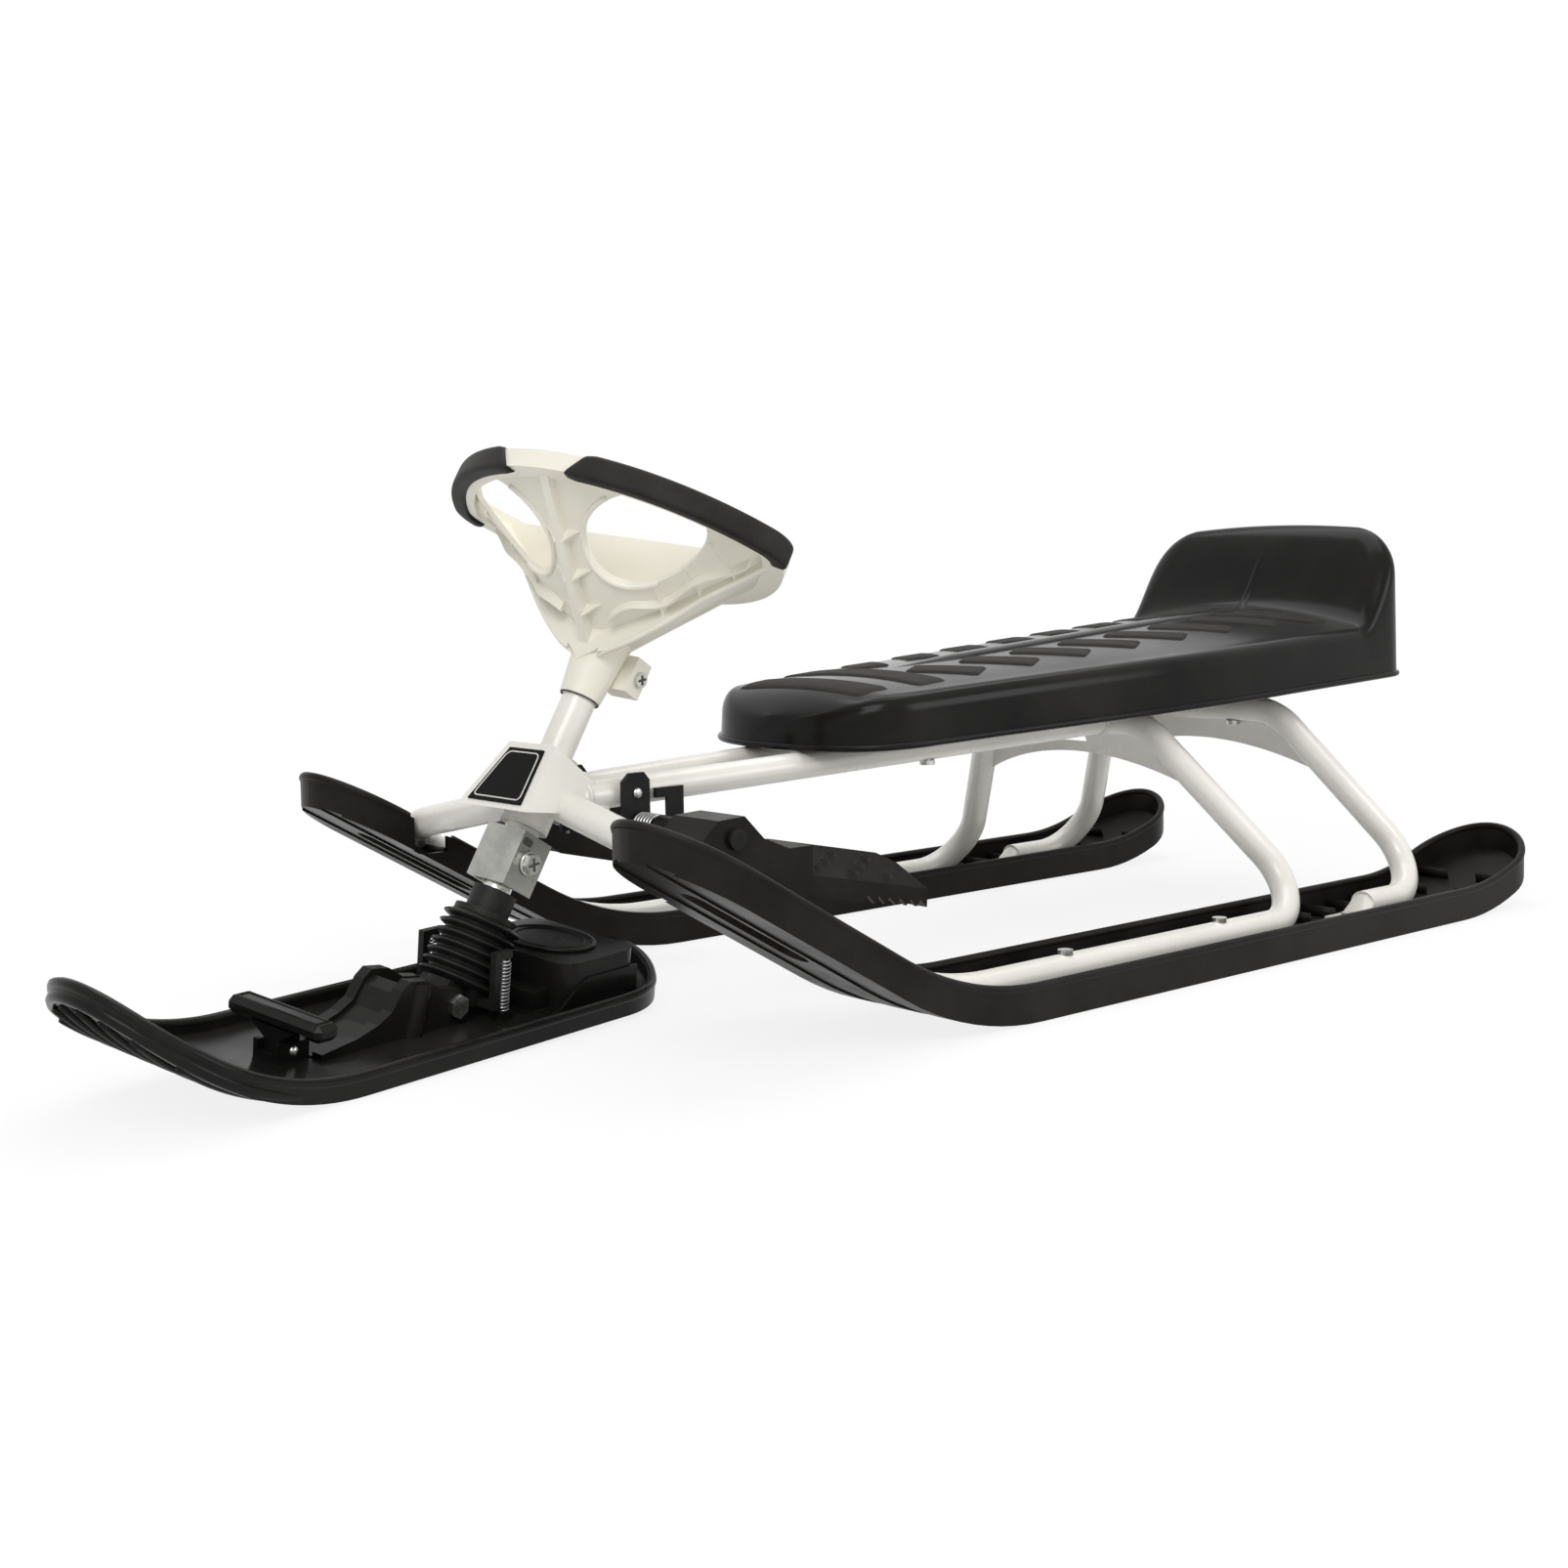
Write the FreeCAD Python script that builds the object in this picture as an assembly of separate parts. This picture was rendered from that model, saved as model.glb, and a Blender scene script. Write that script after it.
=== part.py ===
import FreeCAD, Part
import math
import os
from FreeCAD import Placement, Rotation, Vector

# Steering sled: two rear runners on a bent tube frame, a moulded seat, and a front ski
# on a sprung strut that a steering wheel turns. Millimetres, +Z up, front towards -Y.

# Frame tubes
TUBE_D = 22.0
TUBE_WALL = 1.6
RAIL_D = 20.0
RAIL_HEAD_X = 20.0
RAIL_HOOP_X = 48.0
RAIL_HEAD_Z = 150.0
BEND_R = 42.0
LEG_BEND_R = 48.0
HOOP_BEND_R = 34.0
TUBE_SEAT_GAP = 0.2

# Rear runners
RUNNER_TRACK = 390.0
RUNNER_W = 100.0
RUNNER_TIP_Y = -340.0
RUNNER_TAIL_Y = 608.0
RUNNER_FLOOR = 5.0
RUNNER_WALL = 4.5
RUNNER_WALL_H = 24.0
UPTURN_START_Y = -40.0
UPTURN_R = 250.0
UPTURN_ANGLE = 30.0
TAIL_START_Y = 480.0
TAIL_R = 230.0
GROOVE_W = 16.0
GROOVE_DEPTH = 1.5
GROOVE_X = 22.0
SLOT_W = 20.0
SLOT_FRONT_Y = -300.0
SLOT_REAR_Y = -205.0

# Hoops under the seat
FRONT_HOOP_FOOT_Y = 345.0
FRONT_HOOP_TOP_Y = 262.0
FRONT_HOOP_TOP_X = 84.0
REAR_HOOP_FOOT_Y = 514.0
REAR_HOOP_TOP_Y = 430.0
REAR_HOOP_TOP_X = 92.0
HOOP_TOP_Z = 170.0
REAR_FOOT_END_Y = 372.0
TONGUE_T = 4.0
TONGUE_L = 36.0
TONGUE_FLAT = 21.0
GUSSET_T = 2.5
GUSSET_DROP = 62.0
GUSSET_SLOT_W = 9.0
GUSSET_SLOT_L = 34.0

# Steering axis and strut, measured along the axis from the clamp bolt
RAKE = 30.0
STEER_SET = 14.0
AXIS_Y = -295.0
AXIS_Z = 112.0
COLUMN_D = 24.0
COLUMN_WALL = 2.0
COLUMN_BOTTOM = 18.0
COLUMN_TOP = 172.0
HEAD_TUBE_D = 34.0
HEAD_TUBE_BOTTOM = 25.0
HEAD_TUBE_TOP = 74.0
BUSH_D = 28.0
BUSH_L = 14.0
BUSH_FLANGE = 2.5
RUN_FIT = 0.05
HEAD_SHEET = 2.0
HEAD_TOP_HALF_W = 27.0
HEAD_LOW_HALF_W = 41.0
FACE_TOP_BACK = 20.0
FACE_TOP_RISE = 76.0
FACE_LOW_BACK = -14.0
FACE_LOW_RISE = 36.0
COVER_BACK = 62.0
COVER_LOW_RISE = 26.0
COVER_FALL = 12.0
LABEL_T = 1.0

# Steering wheel, in the plane square to the steering axis
WHEEL_S = 228.0
WHEEL_HALF_W = 146.0
WHEEL_END_W = -36.0
WHEEL_FRONT_W = -128.0
WHEEL_REAR_W = 62.0
WHEEL_CORNER_R = 24.0
RIM_T = 15.0
RIM_H = 13.0
GRIP_T = 2.5
GRIP_WRAP = 9.0
GRIP_GAP_HALF = 31.0
GRIP_BACK = 12.0
HUB_BOTTOM = 120.0
HUB_LOW_R = 14.5
HUB_R = 20.0
HUB_TOP = 165.0
BOWL_T = 4.0
WHEEL_SCREW_D = 6.0
WHEEL_SCREW_S = 148.0

# Strut, bellows and clamp bracket
CLAMP_W = 34.0
CLAMP_T = 3.0
CLAMP_DEPTH = 30.0
CLAMP_LOW = -20.0
CLAMP_BOLT_D = 8.0
ROD_D = 20.0
ROD_LOW = -82.0
STRUT_TRAVEL = 18.0
COLLAR_D = 30.0
COLLAR_TOP = -24.0
BELLOWS_TOP = -44.0
BELLOWS_LOW = -91.0
BELLOWS_D = 54.0
BELLOWS_VALLEY_D = 43.0
BELLOWS_WALL = 1.8
BELLOWS_RIBS = 7
SLEEVE_D = 26.0
SPRING_WIRE = 3.0
SPRING_TURNS = 6
FOOT_D = 42.0
FOOT_LOW = -102.0

# Front ski
SKI_HALF_W = 72.0
SKI_TIP_Y = -630.0
SKI_TAIL_Y = -175.0
SKI_FLOOR = 6.0
SKI_RIM = 6.0
SKI_RIM_H = 12.0
SKI_BEND_Y = -478.0
SKI_TIP_R = 200.0
SKI_TIP_ANGLE = 45.0
SKI_TAIL_BEND_Y = -213.0
SKI_TAIL_R = 66.0
SKI_LIFT = 10.4
PIVOT_H = 18.0
PIVOT_FORWARD = 17.0
PIVOT_D = 10.0
EAR_T = 9.0
EAR_R = 11.0
FOOT_HALF_W = 13.0
SIDE_GAP = 0.4
FIN_LENGTH = 111.0
TOWER_RISE = 24.0
PILLAR_R = 7.0
PULL_SPRING_X = 34.0
PULL_SPRING_Y = -330.0
PULL_SPRING_L = 36.0
HORN_T = 5.0
PULL_SPRING_D = 9.0
PULL_SPRING_WIRE = 1.4
PULL_SPRING_TURNS = 12

# Tow handle and cord winder on the ski
WINDER_HALF_W = 50.0
WINDER_FRONT_Y = -288.0
WINDER_REAR_Y = -214.0
WINDER_H = 31.0
WINDER_STEP_Y = -304.0
WINDER_STEP_H = 12.0
WINDER_WALL = 2.5
WINDER_CORNER_R = 14.0
LID_HALF_L = 26.0
LID_T = 2.0
DRUM_R = 18.0
DRUM_FLANGE_R = 30.0
DRUM_H = 16.0
AXLE_D = 8.0
HANDLE_Y = -484.0
HANDLE_HALF_L = 43.0
HANDLE_W = 18.0
HANDLE_T = 11.0
HANDLE_BEVEL = 3.5
HANDLE_RISE = 25.0
STEM_W = 14.0
STEM_FLARE = 20.0
STEM_L = 16.0
DOCK_T = 4.0
DOCK_L = 24.0
DOCK_H = 13.0
DOCK_FLOOR = 5.0

# Brakes
PEDAL_IN_X = 94.0
PEDAL_OUT_X = 140.0
PEDAL_L = 200.0
PEDAL_WALL = 3.0
TREAD_DROP = 20.0
BRAKE_Y = -214.0
BRAKE_Z = 130.0
BRAKE_PIN_D = 9.0
PEDAL_HUB_D = 18.0
BRACKET_T = 3.0
BRACKET_L = 52.0
COIL_WIRE = 2.5
COIL_D = 16.0
COIL_TURNS = 5
TEETH = 6
BUMP_R = 5.0

# Seat
SEAT_FRONT_Y = -66.0
SEAT_REAR_Y = 578.0
SEAT_FRONT_HALF_W = 100.0
SEAT_REAR_HALF_W = 136.0
SEAT_LOW_FRONT_Z = 168.6
SEAT_LOW_REAR_Z = 196.0
SEAT_TOP_FRONT_Z = 207.5
SEAT_TOP_REAR_Z = 244.0
SEAT_BACK_RISE = 84.0
SEAT_BACK_Y = 500.0
SEAT_BACK_L = 62.0
SEAT_WALL = 4.0
SEAT_BOLT_Y = 62.0
SEAT_BOLT_D = 6.0
SEAT_BOLT_L = 32.0
SEAT_POST_D = 18.0
SEAT_POST_L = 30.0
SCREW_D = 6.0
SCREW_HEAD_D = 11.0

# Places worked out from the sizes above
runner_x = RUNNER_TRACK / 2
tube_r = TUBE_D / 2
tube_floor_z = RUNNER_FLOOR + TUBE_SEAT_GAP + tube_r
rake = math.radians(RAKE)
upturn = math.radians(UPTURN_ANGLE)
axis_point = Vector(0, AXIS_Y, AXIS_Z)
axis_dir = Vector(0, math.sin(rake), math.cos(rake))
axis_place = Placement(axis_point, Rotation(Vector(1, 0, 0), -RAKE))
far = 400.0
parts = {}


def axis_at(s):
    """Point on the steering axis, s along it from the clamp bolt."""
    return axis_point + axis_dir * s


def set_on_axis(shape):
    """Moves a shape drawn about the local Z axis on to the raked steering axis."""
    moved = shape.copy()
    moved.Placement = axis_place.multiply(moved.Placement)
    return moved


def turned(shape):
    """Turns a steered piece to the angle that the steering is set to."""
    copy = shape.copy()
    copy.rotate(axis_point, axis_dir, STEER_SET)
    return copy


def mirrored(shape):
    return shape.mirror(Vector(0, 0, 0), Vector(1, 0, 0))


def rod_between(a, b, diameter):
    return Part.makeCylinder(diameter / 2, (b - a).Length, a, b - a)


def fused(shapes):
    whole = shapes[0].fuse(shapes[1:]) if len(shapes) > 1 else shapes[0]
    return whole.removeSplitter()


def side_prism(outline, x_low, x_high):
    """Closed outline of (y, z) points, extruded across the sled."""
    points = [Vector(x_low, y, z) for y, z in outline]
    face = Part.Face(Part.makePolygon(points + points[:1]))
    return face.extrude(Vector(x_high - x_low, 0, 0))


def bent_path(points, radii):
    """Straight runs joined by tangent arcs, one radius for each inner point."""
    edges = []
    start = points[0]
    for before, corner, after, radius in zip(points, points[1:], points[2:], radii):
        back = (before - corner).normalize()
        ahead = (after - corner).normalize()
        half = back.getAngle(ahead) / 2
        reach = radius / math.tan(half)
        bisector = (back + ahead).normalize()
        middle = corner + bisector * (radius / math.sin(half) - radius)
        first = corner + back * reach
        last = corner + ahead * reach
        edges.append(Part.LineSegment(start, first).toShape())
        edges.append(Part.Arc(first, middle, last).toShape())
        start = last
    edges.append(Part.LineSegment(start, points[-1]).toShape())
    return Part.Wire(edges)


def swept(path, radius):
    """Round bar of one radius along a path."""
    first = path.OrderedEdges[0]
    start = first.valueAt(first.FirstParameter)
    heading = first.tangentAt(first.FirstParameter)
    pipe = Part.BRepOffsetAPI.MakePipeShell(path)
    pipe.add(Part.Wire(Part.makeCircle(radius, start, heading)))
    pipe.build()
    pipe.makeSolid()
    return pipe.shape()


def bent_tube(points, radii, diameter, wall):
    path = bent_path(points, radii)
    return swept(path, diameter / 2).cut(swept(path, diameter / 2 - wall))


def arc_from(start, heading, end):
    """Arc that leaves start along heading and reaches end."""
    chord = end - start
    side = chord - heading * chord.dot(heading)
    side.normalize()
    radius = chord.dot(chord) / (2 * chord.dot(side))
    centre = start + side * radius
    spoke = ((start - centre) + (end - centre)).normalize()
    return Part.Arc(start, centre + spoke * radius, end).toShape()


def biarc(a, a_heading, b, b_heading):
    """Two tangent arcs from a to b with the headings given at both ends."""
    chord = b - a
    both = a_heading + b_heading
    turn = 2 * (1 - a_heading.dot(b_heading))
    along = chord.dot(both)
    reach = (-along + math.sqrt(along * along + turn * chord.dot(chord))) / turn
    joint = (a + b + (a_heading - b_heading) * reach) * 0.5
    joint_heading = (b - b_heading * reach - a - a_heading * reach).normalize()
    return [arc_from(a, a_heading, joint), arc_from(joint, joint_heading, b)]


def coil(name, mean_d, wire, turns, length, tail):
    """Helical spring about the local Z axis from z = 0, one unbroken wire."""
    radius = mean_d / 2
    pitch = length / turns
    climb = pitch / (2 * math.pi)
    quarters = 4 * turns
    edges = []
    samples = []

    def place(angle):
        return Vector(radius * math.cos(angle), radius * math.sin(angle), climb * angle)

    def heading(angle):
        return Vector(-radius * math.sin(angle), radius * math.cos(angle), climb).normalize()

    first = place(0) - heading(0) * tail
    edges.append(Part.LineSegment(first, place(0)).toShape())
    for step in range(quarters):
        a = step * math.pi / 2
        b = a + math.pi / 2
        edges.extend(biarc(place(a), heading(a), place(b), heading(b)))
        samples.append(place(a))
    last = math.pi / 2 * quarters
    edges.append(Part.LineSegment(place(last), place(last) + heading(last) * tail).toShape())
    gaps = [a.distanceToPoint(b) - wire for a, b in zip(samples, samples[4:])]
    print(name, "least gap to itself", round(min(gaps), 2), "mm")
    return swept(Part.Wire(edges), wire / 2)


def keel_edges(tip_y, bend_y, tip_r, tip_angle, tail_bend_y, tail_r, tail_y, z):
    """Underside line of a runner or ski: sloping tip, flat sole, rising tail."""
    a = math.radians(tip_angle)
    b = math.asin((tail_y - tail_bend_y) / tail_r)
    slope_y = bend_y - tip_r * math.sin(a)
    slope_z = tip_r * (1 - math.cos(a))
    tip = Vector(0, tip_y, z + slope_z + (slope_y - tip_y) * math.tan(a))
    slope = Vector(0, slope_y, z + slope_z)
    rise = Vector(0, bend_y - tip_r * math.sin(a / 2), z + tip_r * (1 - math.cos(a / 2)))
    front = Vector(0, bend_y, z)
    rear = Vector(0, tail_bend_y, z)
    lift = Vector(0, tail_bend_y + tail_r * math.sin(b / 2), z + tail_r * (1 - math.cos(b / 2)))
    tail = Vector(0, tail_y, z + tail_r * (1 - math.cos(b)))
    curves = [Part.LineSegment(tip, slope), Part.Arc(slope, rise, front)]
    curves += [Part.LineSegment(front, rear), Part.Arc(rear, lift, tail)]
    return [curve.toShape() for curve in curves], tip, tail


def keel_band(keel, low, high, x_low, x_high):
    """Solid between two heights above the underside line."""
    edges, tip, tail = keel
    up_low = Vector(x_low, 0, low)
    up_high = Vector(x_low, 0, high)
    lower = [edge.translated(up_low) for edge in edges]
    upper = [edge.translated(up_high) for edge in edges]
    ends = [Part.LineSegment(p + up_low, p + up_high).toShape() for p in (tip, tail)]
    wire = Part.Wire(Part.sortEdges(lower + upper + ends)[0])
    return Part.Face(wire).extrude(Vector(x_high - x_low, 0, 0))


def stadium(x, half_w, y_low, y_high, z_low, z_high):
    """Upright prism with round ends."""
    front = y_low + half_w
    rear = y_high - half_w
    corners = [Vector(x - half_w, front, z_low), Vector(x, y_low, z_low), Vector(x + half_w, front, z_low)]
    ends = [Vector(x + half_w, rear, z_low), Vector(x, y_high, z_low), Vector(x - half_w, rear, z_low)]
    edges = [Part.Arc(*corners).toShape(), Part.LineSegment(corners[2], ends[0]).toShape()]
    edges += [Part.Arc(*ends).toShape(), Part.LineSegment(ends[2], corners[0]).toShape()]
    return Part.Face(Part.Wire(edges)).extrude(Vector(0, 0, z_high - z_low))


def tray(keel, x, half_w, y_low, y_high, floor, wall, height):
    """Trough with a floor and a wall all round, bent along its underside line."""
    outside = keel_band(keel, 0, height, x - half_w - 1, x + half_w + 1)
    outside = outside.common(stadium(x, half_w, y_low, y_high, -far, far))
    inside = keel_band(keel, floor, height + far, x - half_w, x + half_w)
    inside = inside.common(stadium(x, half_w - wall, y_low + wall, y_high - wall, -far, far))
    return outside.cut(inside)


def bolt(start, heading, shank_d, shank_l, head_d, head_l):
    """Bolt with a hex head, whose shank runs from start along heading."""
    shank = Part.makeCylinder(shank_d / 2, shank_l, start, heading)
    around = Placement(start, Rotation(Vector(0, 0, 1), heading))
    flats = [Vector(head_d / 2 * math.cos(k * math.pi / 3), head_d / 2 * math.sin(k * math.pi / 3), 0)
             for k in range(6)]
    head = Part.Face(Part.makePolygon(flats + flats[:1])).extrude(Vector(0, 0, -head_l))
    head.Placement = around
    return shank.fuse(head).removeSplitter()


# Rear runners: moulded troughs, one each side, that the frame tube lies in
runner_keel = keel_edges(RUNNER_TIP_Y, UPTURN_START_Y, UPTURN_R, UPTURN_ANGLE,
                         TAIL_START_Y, TAIL_R, RUNNER_TAIL_Y, 0)
runner = tray(runner_keel, runner_x, RUNNER_W / 2, RUNNER_TIP_Y, RUNNER_TAIL_Y,
              RUNNER_FLOOR, RUNNER_WALL, RUNNER_WALL_H)
for side in (-1, 1):
    groove_x = runner_x + side * GROOVE_X
    groove = keel_band(runner_keel, -1, GROOVE_DEPTH, groove_x - GROOVE_W / 2, groove_x + GROOVE_W / 2)
    runner = runner.cut(groove)
slot = stadium(runner_x, SLOT_W / 2, SLOT_FRONT_Y, SLOT_REAR_Y, 0, far)
runner = runner.cut(slot)

# Main tube: from the head down into one runner, along it, up over the front hoop and back
slope_lift = (RUNNER_FLOOR + TUBE_SEAT_GAP + tube_r) / math.cos(upturn)
slope_y = UPTURN_START_Y - UPTURN_R * math.sin(upturn)
slope_z = UPTURN_R * (1 - math.cos(upturn))
leg_y = AXIS_Y + 27.0
leg_corner_z = slope_z + (slope_y - leg_y) * math.tan(upturn) + slope_lift
floor_corner_y = slope_y + (slope_z + slope_lift - tube_floor_z) / math.tan(upturn)
floor_bend_r = UPTURN_R - tube_floor_z
half_route = [
    Vector(HEAD_TUBE_D / 4, leg_y, RAIL_HEAD_Z),
    Vector(runner_x, leg_y, leg_corner_z),
    Vector(runner_x, floor_corner_y, tube_floor_z),
    Vector(runner_x, FRONT_HOOP_FOOT_Y, tube_floor_z),
    Vector(FRONT_HOOP_TOP_X, FRONT_HOOP_TOP_Y, HOOP_TOP_Z),
]
half_radii = [LEG_BEND_R, floor_bend_r, BEND_R, HOOP_BEND_R]
other_route = [Vector(-p.x, p.y, p.z) for p in reversed(half_route)]
main_route = half_route + other_route
main_radii = half_radii + half_radii[::-1]
main_tube = bent_tube(main_route, main_radii, TUBE_D, TUBE_WALL)

# Head: bearing tube that the legs and rails are welded to, with two flanged bushes
head_low = axis_at(HEAD_TUBE_BOTTOM)
head_bar = Part.makeCylinder(HEAD_TUBE_D / 2, HEAD_TUBE_TOP - HEAD_TUBE_BOTTOM, head_low, axis_dir)
head_bore = Part.makeCylinder(BUSH_D / 2, far, axis_at(-far / 2), axis_dir)
parts["head_tube"] = head_bar.cut(head_bore)
main_tube = main_tube.cut(Part.makeCylinder(HEAD_TUBE_D / 2, 2 * far, axis_at(-far), axis_dir))
bush_ends = {"upper_bush": (HEAD_TUBE_TOP, 1), "lower_bush": (HEAD_TUBE_BOTTOM, -1)}
for name, (end, outwards) in bush_ends.items():
    sleeve = Part.makeCylinder(BUSH_D / 2, BUSH_L, axis_at(end), axis_dir * -outwards)
    flange = Part.makeCylinder(HEAD_TUBE_D / 2, BUSH_FLANGE, axis_at(end), axis_dir * outwards)
    running = Part.makeCylinder(COLUMN_D / 2 + RUN_FIT, 2 * far, axis_at(-far), axis_dir)
    parts[name] = sleeve.fuse(flange).removeSplitter().cut(running)

# Upper rails from the head to the front hoop
rail_head = Vector(RAIL_HEAD_X, leg_y, RAIL_HEAD_Z)
rail_hoop = Vector(RAIL_HOOP_X, FRONT_HOOP_TOP_Y, HOOP_TOP_Z)
rail_bar = rod_between(rail_head, rail_hoop, RAIL_D)
rail = rail_bar.cut(rod_between(rail_head, rail_hoop, RAIL_D - 2 * TUBE_WALL))
main_bar = swept(bent_path(main_route, main_radii), tube_r)
rail = rail.cut(main_bar).cut(head_bar)
rail = max(rail.Solids, key=lambda solid: solid.Volume)


def rail_at(y):
    """Centre of the +X rail at a station along the sled."""
    share = (y - leg_y) / (FRONT_HOOP_TOP_Y - leg_y)
    return rail_head + (rail_hoop - rail_head) * share


# Rear hoop with flattened feet screwed into the runners
hoop_half = [
    Vector(runner_x, REAR_FOOT_END_Y + TONGUE_L - 2, tube_floor_z),
    Vector(runner_x, REAR_HOOP_FOOT_Y, tube_floor_z),
    Vector(REAR_HOOP_TOP_X, REAR_HOOP_TOP_Y, HOOP_TOP_Z),
]
hoop_route = hoop_half + [Vector(-p.x, p.y, p.z) for p in reversed(hoop_half)]
hoop_radii = [BEND_R, HOOP_BEND_R, HOOP_BEND_R, BEND_R]
rear_hoop = bent_tube(hoop_route, hoop_radii, TUBE_D, TUBE_WALL)
tongue = Part.makeBox(TUBE_D + 4, TONGUE_L, TONGUE_T,
                      Vector(runner_x - tube_r - 2, REAR_FOOT_END_Y, RUNNER_FLOOR + TUBE_SEAT_GAP))
tongue_screw_y = REAR_FOOT_END_Y + TONGUE_L / 2 - 4
tongue = tongue.cut(Part.makeCylinder(SCREW_D / 2, far, Vector(runner_x, tongue_screw_y, -far / 2)))
tube_end = hoop_half[0] + Vector(0, TUBE_WALL, 0)
flat_end = Vector(runner_x, REAR_FOOT_END_Y + TONGUE_FLAT, RUNNER_FLOOR + TUBE_SEAT_GAP + TONGUE_T * 0.7)
plug_r = tube_r - TUBE_WALL / 3
end_rings = []
for centre, wide, high in ((tube_end, plug_r + 0.1, plug_r), (flat_end, tube_r + 1, TONGUE_T / 2)):
    ring = Part.Ellipse(centre + Vector(wide, 0, 0), centre + Vector(0, 0, high), centre)
    end_rings.append(Part.Wire(ring.toShape()))
pressed_end = Part.makeLoft(end_rings, True, True)
rear_hoop = fused([rear_hoop, tongue, mirrored(tongue), pressed_end, mirrored(pressed_end)])


def gusset(top_x, top_y, foot_x, foot_y, solid_tube):
    """Arched sheet between the legs of a hoop, welded to its inner side."""
    lean = (foot_y - top_y) / (HOOP_TOP_Z - tube_floor_z)
    low_z = HOOP_TOP_Z - GUSSET_DROP
    spread = (foot_x - top_x) * GUSSET_DROP / (HOOP_TOP_Z - tube_floor_z)
    low_y = top_y + lean * GUSSET_DROP
    left = Vector(-top_x - spread, low_y, low_z)
    right = Vector(top_x + spread, low_y, low_z)
    crown = Vector(0, top_y + lean * tube_r * 2.6, HOOP_TOP_Z - tube_r * 2.6)
    top_left = Vector(-top_x, top_y, HOOP_TOP_Z)
    top_right = Vector(top_x, top_y, HOOP_TOP_Z)
    edges = [Part.Arc(left, crown, right).toShape(), Part.LineSegment(right, top_right).toShape()]
    edges += [Part.LineSegment(top_right, top_left).toShape(), Part.LineSegment(top_left, left).toShape()]
    normal = Vector(0, HOOP_TOP_Z - low_z, low_y - top_y).normalize()
    sheet = Part.Face(Part.Wire(edges)).extrude(normal * GUSSET_T)
    sheet.translate(normal * (-GUSSET_T / 2))
    sheet = sheet.cut(solid_tube)
    return max(sheet.Solids, key=lambda solid: solid.Volume)


front_gusset = gusset(FRONT_HOOP_TOP_X, FRONT_HOOP_TOP_Y, runner_x, FRONT_HOOP_FOOT_Y, main_bar)
slot_z = HOOP_TOP_Z - tube_r - GUSSET_SLOT_W
slot_box = Part.makeBox(GUSSET_SLOT_L, far, GUSSET_SLOT_W / 2,
                        Vector(-GUSSET_SLOT_L / 2, FRONT_HOOP_TOP_Y - far / 2, slot_z))
front_gusset = front_gusset.cut(slot_box)
rear_gusset = gusset(REAR_HOOP_TOP_X, REAR_HOOP_TOP_Y, runner_x, REAR_HOOP_FOOT_Y,
                     swept(bent_path(hoop_route, hoop_radii), tube_r))
parts["front_gusset"] = front_gusset
parts["rear_gusset"] = rear_gusset

# Notch in the runner's inner wall where the leg comes in, and screws through tube and floor
notch_gap = 3.0
notch = Part.makeBox(RUNNER_WALL + 2, 2 * (tube_r + notch_gap), far,
                     Vector(runner_x - RUNNER_W / 2 - 1, leg_y - tube_r - notch_gap,
                            leg_corner_z - tube_r - notch_gap))
runner = runner.cut(notch)
screw_places = [(216.0, tube_floor_z + tube_r), (40.0, tube_floor_z + tube_r),
                (tongue_screw_y, RUNNER_FLOOR + TUBE_SEAT_GAP + TONGUE_T)]
screws = []
for screw_y, top_z in screw_places:
    hole = Part.makeCylinder(SCREW_D / 2, top_z + 1, Vector(runner_x, screw_y, GROOVE_DEPTH + 1))
    runner = runner.cut(hole)
    main_tube = main_tube.cut(hole).cut(mirrored(hole))
    pin = Part.makeCylinder(SCREW_D / 2, top_z - GROOVE_DEPTH - 1, Vector(runner_x, screw_y, GROOVE_DEPTH + 1))
    cap = Part.makeCylinder(SCREW_HEAD_D / 2, 3.0, Vector(runner_x, screw_y, top_z))
    screw = pin.fuse(cap).removeSplitter().cut(main_tube)
    screws += [screw, mirrored(screw)]
parts["runner_screws"] = Part.makeCompound(screws)
parts["left_runner"] = runner
parts["right_runner"] = mirrored(runner)
parts["main_frame_tube"] = main_tube
parts["rear_hoop_tube"] = rear_hoop

# Head cover: pressed sheet saddle over the head tube with a sloping front face and bare plate
face_top = Vector(0, AXIS_Y + FACE_TOP_BACK, AXIS_Z + FACE_TOP_RISE)
face_low = Vector(0, AXIS_Y + FACE_LOW_BACK, AXIS_Z + FACE_LOW_RISE)
face_run = (face_low - face_top).normalize()
face_out = Vector(0, face_run.z, -face_run.y)


def head_wedge(inset, drop):
    """Solid of the head cover, drawn in by the sheet's thickness for its hollow."""
    top = face_top - face_out * inset
    low = face_low - face_out * inset + face_run * drop
    back_y = AXIS_Y + COVER_BACK + drop
    back_low = AXIS_Z + COVER_LOW_RISE - drop
    outline = [(top.y, top.z), (low.y, low.z), (back_y, back_low), (back_y, top.z - COVER_FALL)]
    sides = side_prism(outline, -2 * HEAD_LOW_HALF_W, 2 * HEAD_LOW_HALF_W)
    top_w = HEAD_TOP_HALF_W - inset
    low_w = HEAD_LOW_HALF_W - inset
    plan = [Vector(-top_w, top.y, top.z), Vector(top_w, top.y, top.z),
            Vector(low_w, low.y, low.z), Vector(-low_w, low.y, low.z)]
    plan = [p + face_out * HEAD_LOW_HALF_W for p in plan]
    taper = Part.Face(Part.makePolygon(plan + plan[:1])).extrude(face_out * -far)
    return sides.common(taper)


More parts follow.
